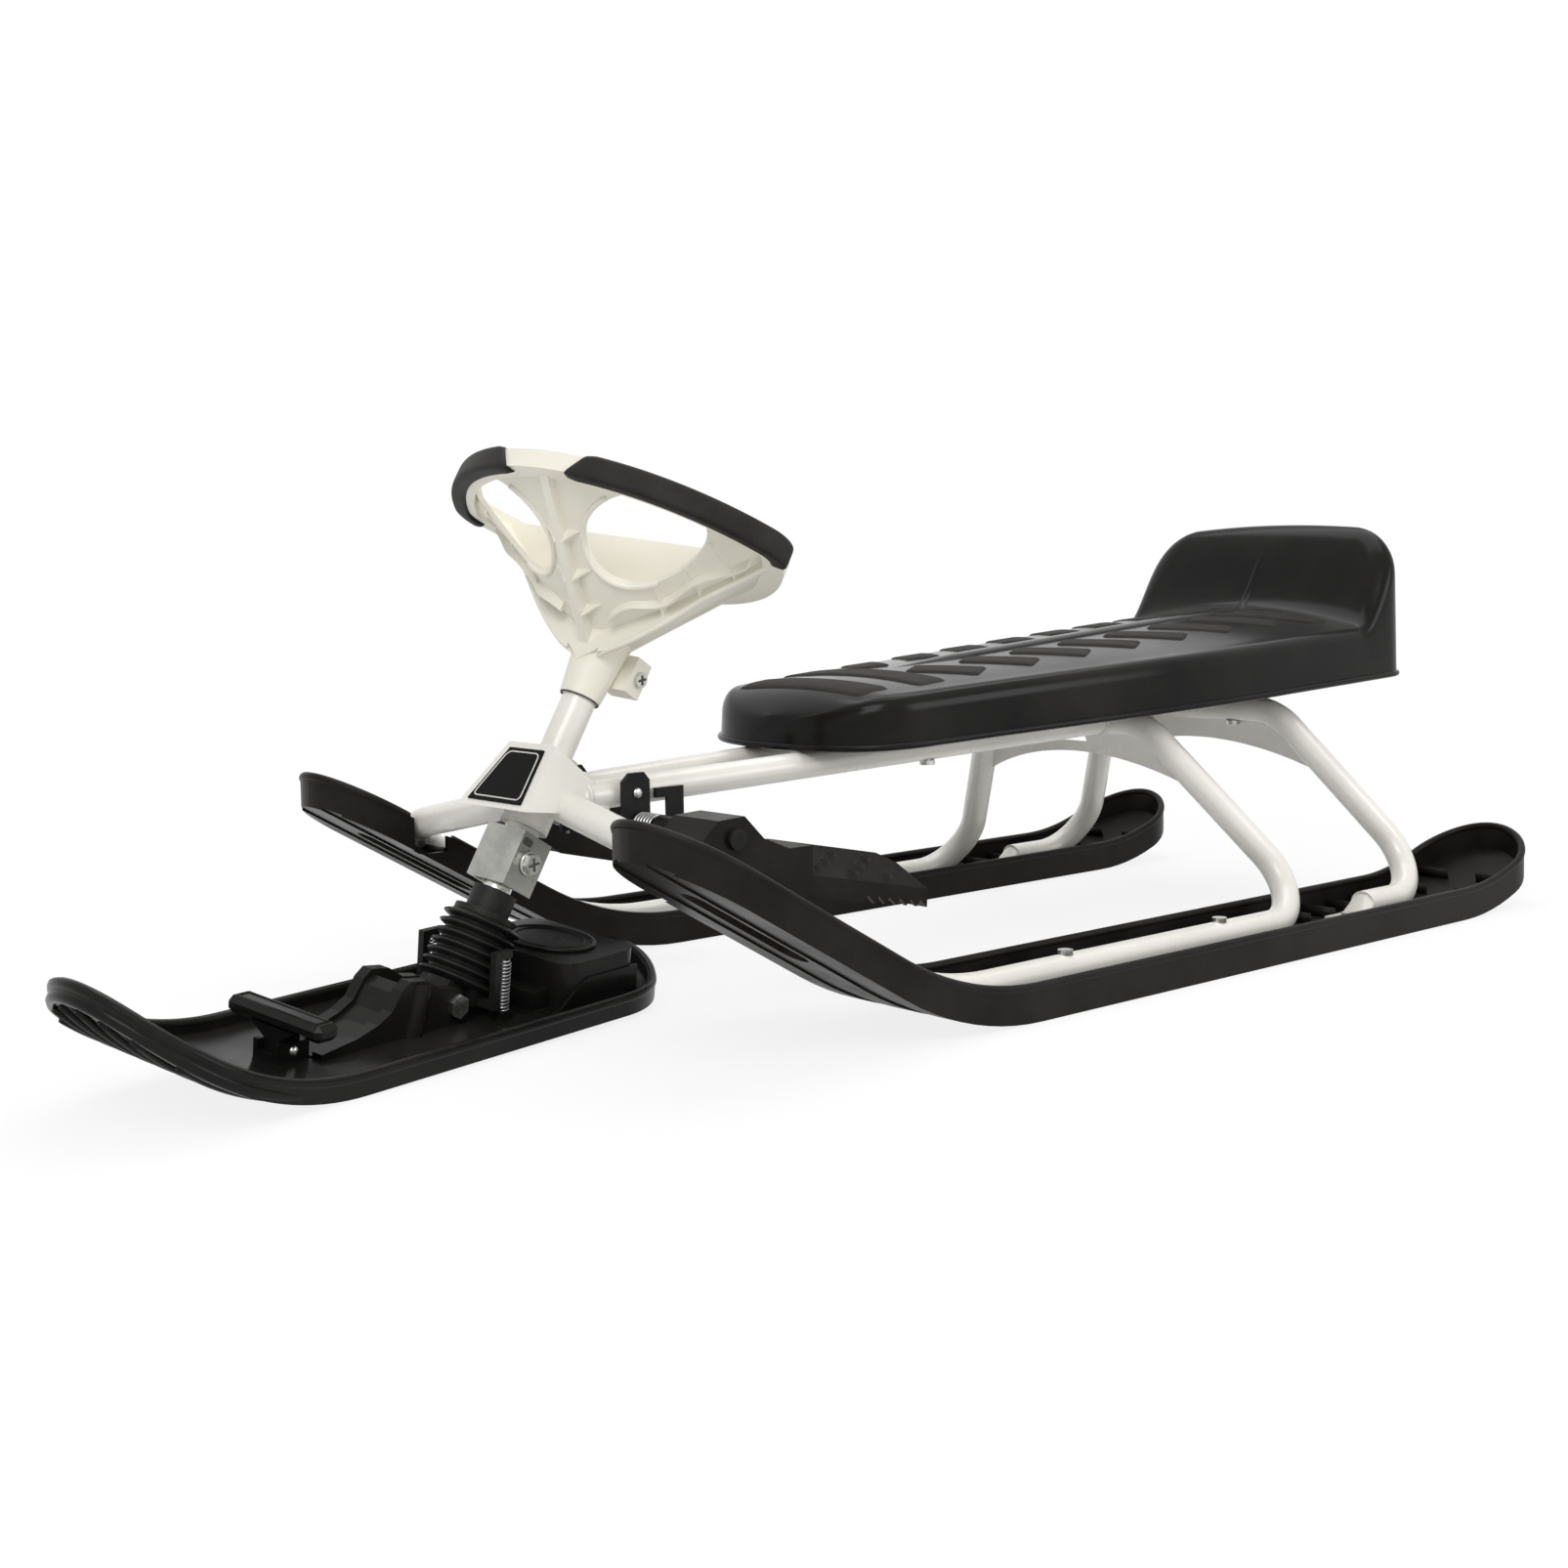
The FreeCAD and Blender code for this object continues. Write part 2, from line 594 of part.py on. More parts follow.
cover = head_wedge(0, 0).cut(head_wedge(HEAD_SHEET, COVER_FALL))
cover = cover.cut(Part.makeCylinder(HEAD_TUBE_D / 2, 2 * far, axis_at(-far), axis_dir))
cover = cover.cut(main_bar).cut(rail_bar).cut(mirrored(rail_bar))
cover = max(cover.Solids, key=lambda solid: solid.Volume)
label = [(-0.72, 0.1), (0.72, 0.1), (0.8, 0.92), (-0.8, 0.92)]
label_points = []
for across, down in label:
    half = HEAD_TOP_HALF_W + (HEAD_LOW_HALF_W - HEAD_TOP_HALF_W) * down
    spot = face_top + (face_low - face_top) * down
    label_points.append(Vector(across * half, spot.y, spot.z))
head_plate = Part.Face(Part.makePolygon(label_points + label_points[:1])).extrude(face_out * LABEL_T)
head_plate = head_plate.cut(Part.makeCylinder(HEAD_TUBE_D / 2 + 1, 2 * far, axis_at(-far), axis_dir))
parts["head_cover"] = cover
parts["head_plate"] = head_plate

# Steering column and clamp bracket at its lower end
column_bar = Part.makeCylinder(COLUMN_D / 2, COLUMN_TOP - COLUMN_BOTTOM, Vector(0, 0, COLUMN_BOTTOM))
column_bore = Part.makeCylinder(COLUMN_D / 2 - COLUMN_WALL, far, Vector(0, 0, COLUMN_BOTTOM))
column = column_bar.cut(column_bore)
clamp_in = CLAMP_W / 2 - CLAMP_T
clamp_high = COLUMN_BOTTOM - CLAMP_LOW
clamp = Part.makeBox(CLAMP_W, CLAMP_DEPTH, clamp_high, Vector(-CLAMP_W / 2, -CLAMP_DEPTH / 2, CLAMP_LOW))
clamp = clamp.cut(Part.makeBox(2 * clamp_in, 2 * CLAMP_DEPTH, clamp_high,
                               Vector(-clamp_in, CLAMP_T - CLAMP_DEPTH / 2, CLAMP_LOW - CLAMP_T)))
across = Vector(1, 0, 0)
clamp_hole = Part.makeCylinder(CLAMP_BOLT_D / 2, 2 * CLAMP_W, Vector(-CLAMP_W, 0, 0), across)
clamp = clamp.cut(clamp_hole)
parts["clamp_bracket"] = turned(set_on_axis(clamp))
rod_top = CLAMP_BOLT_D / 2 + 6.0
strut_rod = Part.makeCylinder(ROD_D / 2, rod_top - ROD_LOW, Vector(0, 0, ROD_LOW))
boss = Part.makeCylinder(CLAMP_BOLT_D / 2 + 4, 2 * clamp_in, Vector(-clamp_in, 0, 0), across)
strut_rod = strut_rod.fuse(boss).removeSplitter().cut(clamp_hole)
parts["strut_rod"] = turned(set_on_axis(strut_rod))
clamp_bolt = bolt(Vector(CLAMP_W / 2, 0, 0), Vector(-1, 0, 0), CLAMP_BOLT_D, CLAMP_W, 15.0, 5.5)
nut = Part.makeCylinder(7.0, 6.0, Vector(-CLAMP_W / 2, 0, 0), Vector(-1, 0, 0))
parts["clamp_bolt"] = turned(set_on_axis(clamp_bolt.fuse(nut).removeSplitter()))

# Wheel: lens-shaped rim on a bowl and hub that clamp on the column
front_mid = (WHEEL_HALF_W ** 2 + WHEEL_END_W ** 2 - WHEEL_FRONT_W ** 2) / (2 * (WHEEL_END_W - WHEEL_FRONT_W))
rear_mid = (WHEEL_HALF_W ** 2 + WHEEL_END_W ** 2 - WHEEL_REAR_W ** 2) / (2 * (WHEEL_END_W - WHEEL_REAR_W))
front_r = front_mid - WHEEL_FRONT_W
rear_r = WHEEL_REAR_W - rear_mid
corner_gap = front_mid - rear_mid
near_front = front_r - WHEEL_CORNER_R
near_rear = rear_r - WHEEL_CORNER_R
corner_w = rear_mid + (near_rear ** 2 - near_front ** 2 + corner_gap ** 2) / (2 * corner_gap)
corner_at = Vector(math.sqrt(near_rear ** 2 - (corner_w - rear_mid) ** 2), corner_w, 0)


def lens(inset, low, high):
    """Prism of the wheel's outline, a front and a rear arc with rounded ends, drawn in by inset."""
    front_way = (corner_at - Vector(0, front_mid, 0)).normalize()
    rear_way = (corner_at - Vector(0, rear_mid, 0)).normalize()
    corner_r = WHEEL_CORNER_R - inset
    right = [corner_at + front_way * corner_r, corner_at + (front_way + rear_way).normalize() * corner_r,
             corner_at + rear_way * corner_r]
    left = [Vector(-p.x, p.y, 0) for p in right]
    front = Part.Arc(left[0], Vector(0, WHEEL_FRONT_W + inset, 0), right[0])
    rear = Part.Arc(right[2], Vector(0, WHEEL_REAR_W - inset, 0), left[2])
    arcs = [front, Part.Arc(*right), rear, Part.Arc(*reversed(left))]
    block = Part.Face(Part.Wire([arc.toShape() for arc in arcs])).extrude(Vector(0, 0, high - low))
    block.translate(Vector(0, 0, low))
    return block


rim_low = WHEEL_S
rim_high = WHEEL_S + RIM_H
rim = lens(0, rim_low, rim_high).cut(lens(RIM_T, rim_low - 1, rim_high + 1))
bowl_w = (WHEEL_FRONT_W + WHEEL_REAR_W) / 2
bowl_half_l = WHEEL_HALF_W - RIM_T - 8
bowl_half_w = (WHEEL_REAR_W - WHEEL_FRONT_W) / 2 - RIM_T + 4
bowl_rim = Part.Ellipse(Vector(0, bowl_w, rim_low + 6), bowl_half_l, bowl_half_w).toShape()
bowl_hub = Part.makeCircle(HUB_R, Vector(0, 0, HUB_TOP))
bowl_wires = [Part.Wire(bowl_hub), Part.Wire(bowl_rim)]
bowl = Part.makeLoft(bowl_wires, True, True)
hollow = bowl.translated(Vector(0, 0, BOWL_T))
bowl = bowl.cut(hollow)
for side in (-1, 1):
    window = Part.Ellipse(Vector(side * 60.0, WHEEL_FRONT_W + 58.0, 0), 44.0, 30.0).toShape()
    window = Part.Face(Part.Wire(window)).extrude(Vector(0, 0, 2 * far))
    bowl = bowl.cut(window)
hub = Part.makeCone(HUB_LOW_R, HUB_R, HUB_TOP - HUB_BOTTOM, Vector(0, 0, HUB_BOTTOM))
hub = hub.fuse(Part.makeCylinder(HUB_R, COLUMN_TOP + 4 - HUB_TOP, Vector(0, 0, HUB_TOP)))
web_outline = [(0, HUB_BOTTOM + 20), (WHEEL_FRONT_W + RIM_T / 2, rim_low + 2),
               (WHEEL_FRONT_W + RIM_T / 2, rim_high - 4), (0, HUB_TOP + 8)]
web = side_prism(web_outline, -3.5, 3.5)
wing_outline = [(-WHEEL_HALF_W + RIM_T, rim_low + 8), (0, HUB_BOTTOM + 22), (WHEEL_HALF_W - RIM_T, rim_low + 8)]
wing_points = [Vector(x, WHEEL_END_W / 2, z) for x, z in wing_outline]
wing = Part.Face(Part.makePolygon(wing_points + wing_points[:1])).extrude(Vector(0, 4.0, 0))
ear = Part.makeBox(24.0, 16.0, 26.0, Vector(2.0, HUB_LOW_R - 4, WHEEL_SCREW_S - 13))
wheel = fused([rim, bowl, hub, web, wing.cut(lens(0, rim_high, far)), ear])
wheel = wheel.cut(Part.makeCylinder(COLUMN_D / 2, COLUMN_TOP - HUB_BOTTOM, Vector(0, 0, HUB_BOTTOM)))
screw_at = Vector(26.0, HUB_LOW_R + 5, WHEEL_SCREW_S)
screw_hole = Part.makeCylinder(WHEEL_SCREW_D / 2, 20.0, screw_at, Vector(-1, 0, 0))
wheel = wheel.cut(screw_hole)
wheel_screw = screw_hole.fuse(Part.makeCylinder(WHEEL_SCREW_D * 0.9, 3.0, screw_at, across)).removeSplitter()
grip_ring = lens(-GRIP_T, rim_low - GRIP_T, rim_high + GRIP_T)
grip_ring = grip_ring.cut(lens(GRIP_WRAP, rim_low - far / 2, rim_high + far / 2))
grip_ring = grip_ring.cut(lens(0, rim_low, rim_high))
grip_span = Part.makeBox(far, far, far, Vector(GRIP_GAP_HALF, WHEEL_END_W - far + GRIP_BACK, 0))
grip = grip_ring.common(grip_span)
parts["steering_column"] = turned(set_on_axis(column))
parts["wheel_body"] = turned(set_on_axis(wheel))
parts["left_grip"] = turned(set_on_axis(grip))
parts["right_grip"] = turned(set_on_axis(mirrored(grip)))
parts["wheel_screw"] = turned(set_on_axis(wheel_screw))

# Strut: collar and ribbed bellows over a coil spring, and the foot that slides on the rod
collar = Part.makeCylinder(COLLAR_D / 2, COLLAR_TOP - BELLOWS_TOP, Vector(0, 0, BELLOWS_TOP))
lip = Part.makeCylinder(BELLOWS_VALLEY_D / 2, 4.0, Vector(0, 0, BELLOWS_TOP))
collar = collar.fuse(lip).removeSplitter()
collar = collar.cut(Part.makeCylinder(ROD_D / 2, far, Vector(0, 0, -far / 2)))
rib_pitch = (BELLOWS_TOP - BELLOWS_LOW) / BELLOWS_RIBS


def ribbed(inset, over):
    """Ruled loft through four circles for each rib."""
    wires = []
    levels = [(0.0, BELLOWS_VALLEY_D), (0.3, BELLOWS_D), (0.6, BELLOWS_D), (0.9, BELLOWS_VALLEY_D)]
    for rib in range(BELLOWS_RIBS):
        for share, diameter in levels:
            z = BELLOWS_LOW + (rib + share) * rib_pitch
            if rib == 0 and share == 0.0:
                z -= over
            wires.append(Part.Wire(Part.makeCircle(diameter / 2 - inset, Vector(0, 0, z))))
    top = Vector(0, 0, BELLOWS_TOP + over)
    wires.append(Part.Wire(Part.makeCircle(BELLOWS_VALLEY_D / 2 - inset, top)))
    return Part.makeLoft(wires, True, True)


bellows = ribbed(0, 0).cut(ribbed(BELLOWS_WALL, 2.0))
coil_length = BELLOWS_TOP - BELLOWS_LOW - SPRING_WIRE - 2.4
coil_d = SLEEVE_D + SPRING_WIRE + 2.4
strut_spring = coil("strut_spring", coil_d, SPRING_WIRE, SPRING_TURNS, coil_length, SPRING_WIRE)
strut_spring.translate(Vector(0, 0, BELLOWS_LOW + SPRING_WIRE / 2 + 1.2))
bore = Part.makeCylinder(ROD_D / 2 + RUN_FIT, -FOOT_LOW, Vector(0, 0, ROD_LOW - STRUT_TRAVEL - 0.5))
pivot_z = PIVOT_H + SKI_LIFT
pivot_y = AXIS_Y + (pivot_z - AXIS_Z) * math.tan(rake) - PIVOT_FORWARD
pivot = Vector(0, pivot_y, pivot_z)
sleeve = Part.makeCylinder(SLEEVE_D / 2, BELLOWS_TOP - STRUT_TRAVEL - 5 - FOOT_LOW, Vector(0, 0, FOOT_LOW))
seat_ring = Part.makeCylinder(FOOT_D / 2, BELLOWS_LOW - FOOT_LOW, Vector(0, 0, FOOT_LOW))
foot = set_on_axis(sleeve.fuse(seat_ring))
knuckle = Part.makeCylinder(EAR_R - 1, 2 * FOOT_HALF_W, pivot + Vector(-FOOT_HALF_W, 0, 0), across)
deck_z = SKI_LIFT + SKI_FLOOR
arm_low = axis_at(FOOT_LOW).z + 0.3
tie_outline = [(pivot_y, pivot_z - EAR_R + 4), (pivot_y - EAR_R + 3, pivot_z + 4)]
for w, s in [(-FOOT_D / 2 + 2, BELLOWS_LOW), (FOOT_D / 2 - 2, FOOT_LOW)]:
    spot = axis_at(s) + Vector(0, math.cos(rake), -math.sin(rake)) * w
    tie_outline.append((spot.y, max(spot.z, arm_low)))
foot_tie = side_prism(tie_outline, -FOOT_HALF_W, FOOT_HALF_W)
pull_low = deck_z + HORN_T
pull_high = pull_low + PULL_SPRING_L
post_y = PULL_SPRING_Y - PULL_SPRING_D / 2 - 1
horn_outline = [(post_y - HORN_T, arm_low), (post_y, arm_low), (post_y, pull_high),
                (PULL_SPRING_Y + PULL_SPRING_D / 2, pull_high),
                (PULL_SPRING_Y + PULL_SPRING_D / 2, pull_high + HORN_T), (post_y - HORN_T, pull_high + HORN_T)]
horn = side_prism(horn_outline, PULL_SPRING_X - HORN_T / 2, PULL_SPRING_X + HORN_T / 2)
arm = Part.makeBox(2 * PULL_SPRING_X, HORN_T, HORN_T, Vector(-PULL_SPRING_X, post_y - HORN_T, arm_low))
ear_room = Part.makeBox(far, far, far, Vector(FOOT_HALF_W, pivot_y + EAR_R + 4 - far, -far / 2))
deck_room = Part.makeBox(2 * far, far, far, Vector(-far, pivot_y + EAR_R, arm_low - far))
foot = foot.cut(ear_room).cut(mirrored(ear_room))
foot = fused([foot, knuckle, foot_tie, horn, mirrored(horn), arm]).cut(set_on_axis(bore)).cut(deck_room)
pivot_hole = Part.makeCylinder(PIVOT_D / 2 + RUN_FIT, far, pivot + Vector(-far / 2, 0, 0), across)
foot = foot.cut(pivot_hole)
parts["bellows_collar"] = turned(set_on_axis(collar))
parts["bellows"] = turned(set_on_axis(bellows))
parts["strut_spring"] = turned(set_on_axis(strut_spring))
parts["strut_foot"] = turned(foot)

# Front ski: shallow tray with grooved sole, clevis ears, fin and tow handle dock
ski_keel = keel_edges(SKI_TIP_Y, SKI_BEND_Y, SKI_TIP_R, SKI_TIP_ANGLE,
                      SKI_TAIL_BEND_Y, SKI_TAIL_R, SKI_TAIL_Y, SKI_LIFT)
ski = tray(ski_keel, 0, SKI_HALF_W, SKI_TIP_Y, SKI_TAIL_Y, SKI_FLOOR, SKI_RIM, SKI_RIM_H)
for groove_x in (-GROOVE_X * 1.6, 0, GROOVE_X * 1.6):
    ski = ski.cut(keel_band(ski_keel, -1, GROOVE_DEPTH, groove_x - GROOVE_W / 2, groove_x + GROOVE_W / 2))
ear_in = FOOT_HALF_W + SIDE_GAP
tower_z = pivot_z + TOWER_RISE
tower_h = tower_z - deck_z
ramp_shares = [(0.43, 0.86), (0.5, 0.53), (0.6, 0.36), (0.75, 0.22), (1, 0.11)]
ramp = [(pivot_y - along * FIN_LENGTH, deck_z + up * tower_h) for along, up in ramp_shares]
ramp.append((pivot_y - FIN_LENGTH, deck_z - 2))
ear_outline = [(pivot_y + EAR_R, deck_z - 2), (pivot_y + EAR_R, pivot_z), (pivot_y + 2, pivot_z + EAR_R),
               (pivot_y - 0.13 * FIN_LENGTH, pivot_z + EAR_R + 3), (pivot_y - 0.24 * FIN_LENGTH, tower_z - 2),
               (pivot_y - 0.37 * FIN_LENGTH, tower_z)] + ramp
ski_ear = side_prism(ear_outline, ear_in, ear_in + EAR_T)
wall_y = pivot_y - 0.355 * FIN_LENGTH
fin_outline = [(wall_y, deck_z - 2), (wall_y, tower_z - 4)] + [(y, max(z - 3, deck_z - 2)) for y, z in ramp[:-1]]
fin = side_prism(fin_outline + ramp[-1:], -ear_in, ear_in)
pillar_foot = Vector(ear_in + EAR_T - 2, pivot_y - 0.335 * FIN_LENGTH, deck_z - 1)
pillar = Part.makeCylinder(PILLAR_R, tower_h - 2, pillar_foot, Vector(0, 0.2, 1))
dock_half_w = STEM_W / 2 + SIDE_GAP + DOCK_T
dock_post = Part.makeBox(2 * dock_half_w, DOCK_L, DOCK_H, Vector(-dock_half_w, HANDLE_Y - DOCK_L / 2, deck_z - 1))
dock_floor = deck_z + DOCK_FLOOR
dock_gap = Part.makeBox(STEM_W + 2 * SIDE_GAP, 2 * DOCK_L, DOCK_H,
                        Vector(-STEM_W / 2 - SIDE_GAP, HANDLE_Y - DOCK_L, dock_floor))
spring_lug = Part.makeBox(PULL_SPRING_D, PULL_SPRING_D, HORN_T + 1,
                          Vector(PULL_SPRING_X - PULL_SPRING_D / 2, PULL_SPRING_Y - PULL_SPRING_D / 2, deck_z - 1))
ski = fused([ski, ski_ear, mirrored(ski_ear), pillar, mirrored(pillar), fin, dock_post.cut(dock_gap),
             spring_lug, mirrored(spring_lug)])
ski = ski.cut(Part.makeCylinder(PIVOT_D / 2, far, pivot + Vector(-far / 2, 0, 0), across))
drum_y = (WINDER_FRONT_Y + WINDER_REAR_Y) / 2
pivot_half = ear_in + EAR_T
pivot_bolt = bolt(pivot + Vector(pivot_half, 0, 0), Vector(-1, 0, 0), PIVOT_D, 2 * pivot_half, 16.0, 4.0)
pivot_nut = Part.makeCylinder(8.0, 4.0, pivot - Vector(pivot_half, 0, 0), Vector(-1, 0, 0))
parts["front_ski"] = turned(ski)
parts["pivot_bolt"] = turned(pivot_bolt.fuse(pivot_nut).removeSplitter())

# Pull springs from the foot's back to the ski, which hold the ski's nose up
end_gap = PULL_SPRING_WIRE / 2 + 0.2
pull_l = PULL_SPRING_L - 2 * end_gap
pull = coil("pull_springs", PULL_SPRING_D - PULL_SPRING_WIRE, PULL_SPRING_WIRE, PULL_SPRING_TURNS, pull_l,
            PULL_SPRING_WIRE)
pull.translate(Vector(PULL_SPRING_X, PULL_SPRING_Y, pull_low + end_gap))
parts["pull_springs"] = turned(Part.makeCompound([pull, mirrored(pull)]))

# Winder: housing on the ski with lid, drum on an axle and a flat spiral spring
box_top = deck_z + WINDER_H


def winder_block(inset, z_low, z_high):
    block = Part.makeBox(2 * (WINDER_HALF_W - inset), WINDER_REAR_Y - WINDER_FRONT_Y - 2 * inset, z_high - z_low,
                         Vector(inset - WINDER_HALF_W, WINDER_FRONT_Y + inset, z_low))
    corners = [e for e in block.Edges if e.BoundBox.ZLength > 1]
    return block.makeFillet(WINDER_CORNER_R - inset, corners)


housing = winder_block(0, deck_z, box_top)
step = Part.makeBox(2 * (WINDER_HALF_W - WINDER_CORNER_R), WINDER_FRONT_Y + WINDER_CORNER_R - WINDER_STEP_Y,
                    WINDER_STEP_H, Vector(WINDER_CORNER_R - WINDER_HALF_W, WINDER_STEP_Y, deck_z))
housing = fused([housing, step]).cut(winder_block(WINDER_WALL, deck_z - 1, box_top - WINDER_WALL))
outlet = Part.makeBox(14.0, 40.0, 5.0, Vector(-7.0, WINDER_STEP_Y - 10, deck_z + 4))
housing = housing.cut(outlet)
lid_outline = Part.Ellipse(Vector(0, drum_y, box_top), LID_HALF_L * 1.3, LID_HALF_L).toShape()
lid = Part.Face(Part.Wire(lid_outline)).extrude(Vector(0, 0, LID_T))
axle_top = box_top - WINDER_WALL
axle = Part.makeCylinder(AXLE_D / 2, axle_top - deck_z, Vector(0, drum_y, deck_z))
drum_low = deck_z + 8.0
drum = Part.makeCylinder(DRUM_R, DRUM_H, Vector(0, drum_y, drum_low))
for z in (drum_low - 2.0, drum_low + DRUM_H):
    drum = drum.fuse(Part.makeCylinder(DRUM_FLANGE_R, 2.0, Vector(0, drum_y, z)))
drum = drum.removeSplitter().cut(Part.makeCylinder(AXLE_D / 2 + RUN_FIT, far, Vector(0, drum_y, 0)))
leaf = 0.8
leaf_step = 2.4
spiral = []
for half in range(10):
    inner = AXLE_D / 2 + (half + 1) * leaf_step / 2
    centre = Vector(leaf_step / 4 * (1 if half % 2 else -1), drum_y, deck_z + 1.0)
    ring = Part.makeCylinder(inner + leaf, 4.0, centre).cut(Part.makeCylinder(inner, 4.0, centre))
    low_y = drum_y if half % 2 else drum_y - far
    spiral.append(ring.common(Part.makeBox(2 * far, far, far, Vector(-far, low_y, 0))))
parts["winder_housing"] = turned(housing)
parts["winder_lid"] = turned(lid)
parts["winder_axle"] = turned(axle)
parts["reel_drum"] = turned(drum)
parts["reel_spring"] = turned(fused(spiral))

# Tow handle: cross bar on a stem that sits in the dock
bar_low = deck_z + HANDLE_RISE - HANDLE_T / 2
bar = Part.makeBox(2 * HANDLE_HALF_L, HANDLE_W, HANDLE_T, Vector(-HANDLE_HALF_L, HANDLE_Y - HANDLE_W / 2, bar_low))
bar = bar.makeChamfer(HANDLE_BEVEL, bar.Edges)
stem_low = dock_floor + 0.3
stem_bend = deck_z + DOCK_H
stem_half = [(STEM_W / 2, stem_low), (STEM_W / 2, stem_bend), (STEM_FLARE, bar_low + 1)]
stem_side = stem_half + [(-x, z) for x, z in reversed(stem_half)]
stem_points = [Vector(x, HANDLE_Y - STEM_L / 2, z) for x, z in stem_side]
stem = Part.Face(Part.makePolygon(stem_points + stem_points[:1])).extrude(Vector(0, STEM_L, 0))
parts["tow_handle"] = turned(fused([bar, stem]))

# Brakes: bracket and pin on each rail, a coil spring on the pin and a toothed pedal
bracket_y = BRAKE_Y - 14
rail_out = rail_at(bracket_y + BRACKET_L).x + RAIL_D / 2
bracket_x = rail_out + 0.2
bracket_sides = [(0, -0.19), (1, -0.19), (1, 0.46), (0.54, 0.46), (0.54, 0.33), (0.73, 0.33), (0.73, 0.04),
                 (0.44, 0.04), (0.44, 0.58), (0.35, 0.69), (0.12, 0.69), (0, 0.58)]
bracket_outline = [(bracket_y + a * BRACKET_L, BRAKE_Z + b * BRACKET_L) for a, b in bracket_sides]
bracket = side_prism(bracket_outline, bracket_x, bracket_x + BRACKET_T)
rivet_at = rail_at(BRAKE_Y - 2)
rivet = Part.makeCylinder(3.0, 10.0, Vector(bracket_x + BRACKET_T - 8, rivet_at.y, rivet_at.z), across)
head = Part.makeCylinder(5.0, 2.0, Vector(bracket_x + BRACKET_T, rivet_at.y, rivet_at.z), across)
pin_start = Vector(bracket_x, BRAKE_Y, BRAKE_Z)
brake_pin = Part.makeCylinder(BRAKE_PIN_D / 2, PEDAL_OUT_X + 1 - bracket_x, pin_start, across)
pin_cap = Part.makeCylinder(BRAKE_PIN_D / 2 + 2.5, 3.0, Vector(PEDAL_OUT_X + 0.5, BRAKE_Y, BRAKE_Z), across)
bracket = bracket.cut(brake_pin).cut(rivet)
rail = rail.cut(rivet)
rivet = rivet.fuse(head).removeSplitter()
brake_pin = brake_pin.fuse(pin_cap).removeSplitter()
coil_l = COIL_TURNS * (COIL_WIRE + 1.5)
brake_coil = coil("brake springs", COIL_D, COIL_WIRE, COIL_TURNS, coil_l, COIL_WIRE)
brake_coil.rotate(Vector(0, 0, 0), Vector(0, 1, 0), 90)
brake_coil.translate(Vector(bracket_x + BRACKET_T + COIL_WIRE / 2 + 0.6, BRAKE_Y, BRAKE_Z))
hub_x = bracket_x + BRACKET_T + coil_l + COIL_WIRE + 1.6
pedal_top = [(-0.13, 0.01), (-0.07, 0.065), (0.04, 0.07), (0.12, -0.01), (0.23, -0.055), (0.33, -0.055),
             (0.82, -0.155), (0.87, -0.19)]
tooth_run = 0.3 / TEETH
pedal_low = []
for tooth in range(TEETH):
    root = 0.86 - tooth * tooth_run
    height = -0.33 + tooth * tooth_run * 0.18
    pedal_low += [(root, height), (root - tooth_run * 0.6, height + 0.03)]
pedal_low += [(0.54, -0.275), (0.13, -0.18), (-0.04, -0.07)]


def pedal_at(share):
    """Place on the pedal's side, in shares of its length from the pin."""
    return BRAKE_Y + share[0] * PEDAL_L, BRAKE_Z + share[1] * PEDAL_L


pedal_outline = [pedal_at(share) for share in pedal_top + pedal_low]
pedal_block = side_prism(pedal_outline, PEDAL_IN_X, PEDAL_OUT_X)
pocket_outline = [(y, z - PEDAL_WALL - 1) for y, z in pedal_outline[3:7]]
pocket_outline += [pedal_at((0.81, -0.45)), pedal_at((0.13, -0.45))]
pocket = side_prism(pocket_outline, PEDAL_IN_X + PEDAL_WALL, PEDAL_OUT_X - PEDAL_WALL)

# The tread falls away to the outer side, from a step behind the hub
tread_y, tread_z = pedal_at(pedal_top[5])
tread_fall = (pedal_top[5][1] - pedal_top[6][1]) / (pedal_top[6][0] - pedal_top[5][0])
tread_in = PEDAL_IN_X + PEDAL_WALL
tread_w = PEDAL_OUT_X - tread_in
beyond = PEDAL_OUT_X + PEDAL_WALL
edge_z = tread_z - TREAD_DROP * (beyond - tread_in) / tread_w
wedge_points = [Vector(tread_in, tread_y, tread_z), Vector(beyond, tread_y, edge_z),
                Vector(beyond, tread_y, tread_z + PEDAL_L), Vector(tread_in, tread_y, tread_z + PEDAL_L)]
wedge = Part.Face(Part.makePolygon(wedge_points + wedge_points[:1]))
wedge = wedge.extrude(Vector(0, PEDAL_L, -PEDAL_L * tread_fall))
pocket = pocket.cut(wedge.translated(Vector(0, -PEDAL_WALL, -PEDAL_WALL - 1)))
pedal = pedal_block.cut(wedge).cut(pocket)
pedal_hub = Part.makeCylinder(PEDAL_HUB_D / 2, PEDAL_OUT_X - hub_x, Vector(hub_x, BRAKE_Y, BRAKE_Z), across)
bumps = []
tread_up = Vector(TREAD_DROP / tread_w, tread_fall, 1).normalize()
for row, along in enumerate((0.4, 0.48, 0.56, 0.64, 0.72)):
    for side_share in ((0.5,) if row % 2 else (0.25, 0.75)):
        bump_y = BRAKE_Y + along * PEDAL_L
        bump_z = tread_z - (bump_y - tread_y) * tread_fall - TREAD_DROP * side_share
        spot = Vector(tread_in + side_share * tread_w, bump_y, bump_z) - tread_up
        bumps.append(Part.makeCone(BUMP_R, BUMP_R * 0.5, 3.0, spot, tread_up))
pedal = fused([pedal, pedal_hub] + bumps)
pedal = pedal.cut(Part.makeCylinder(BRAKE_PIN_D / 2 + RUN_FIT, far, pin_start, across))
parts["left_brake_pedal"] = pedal
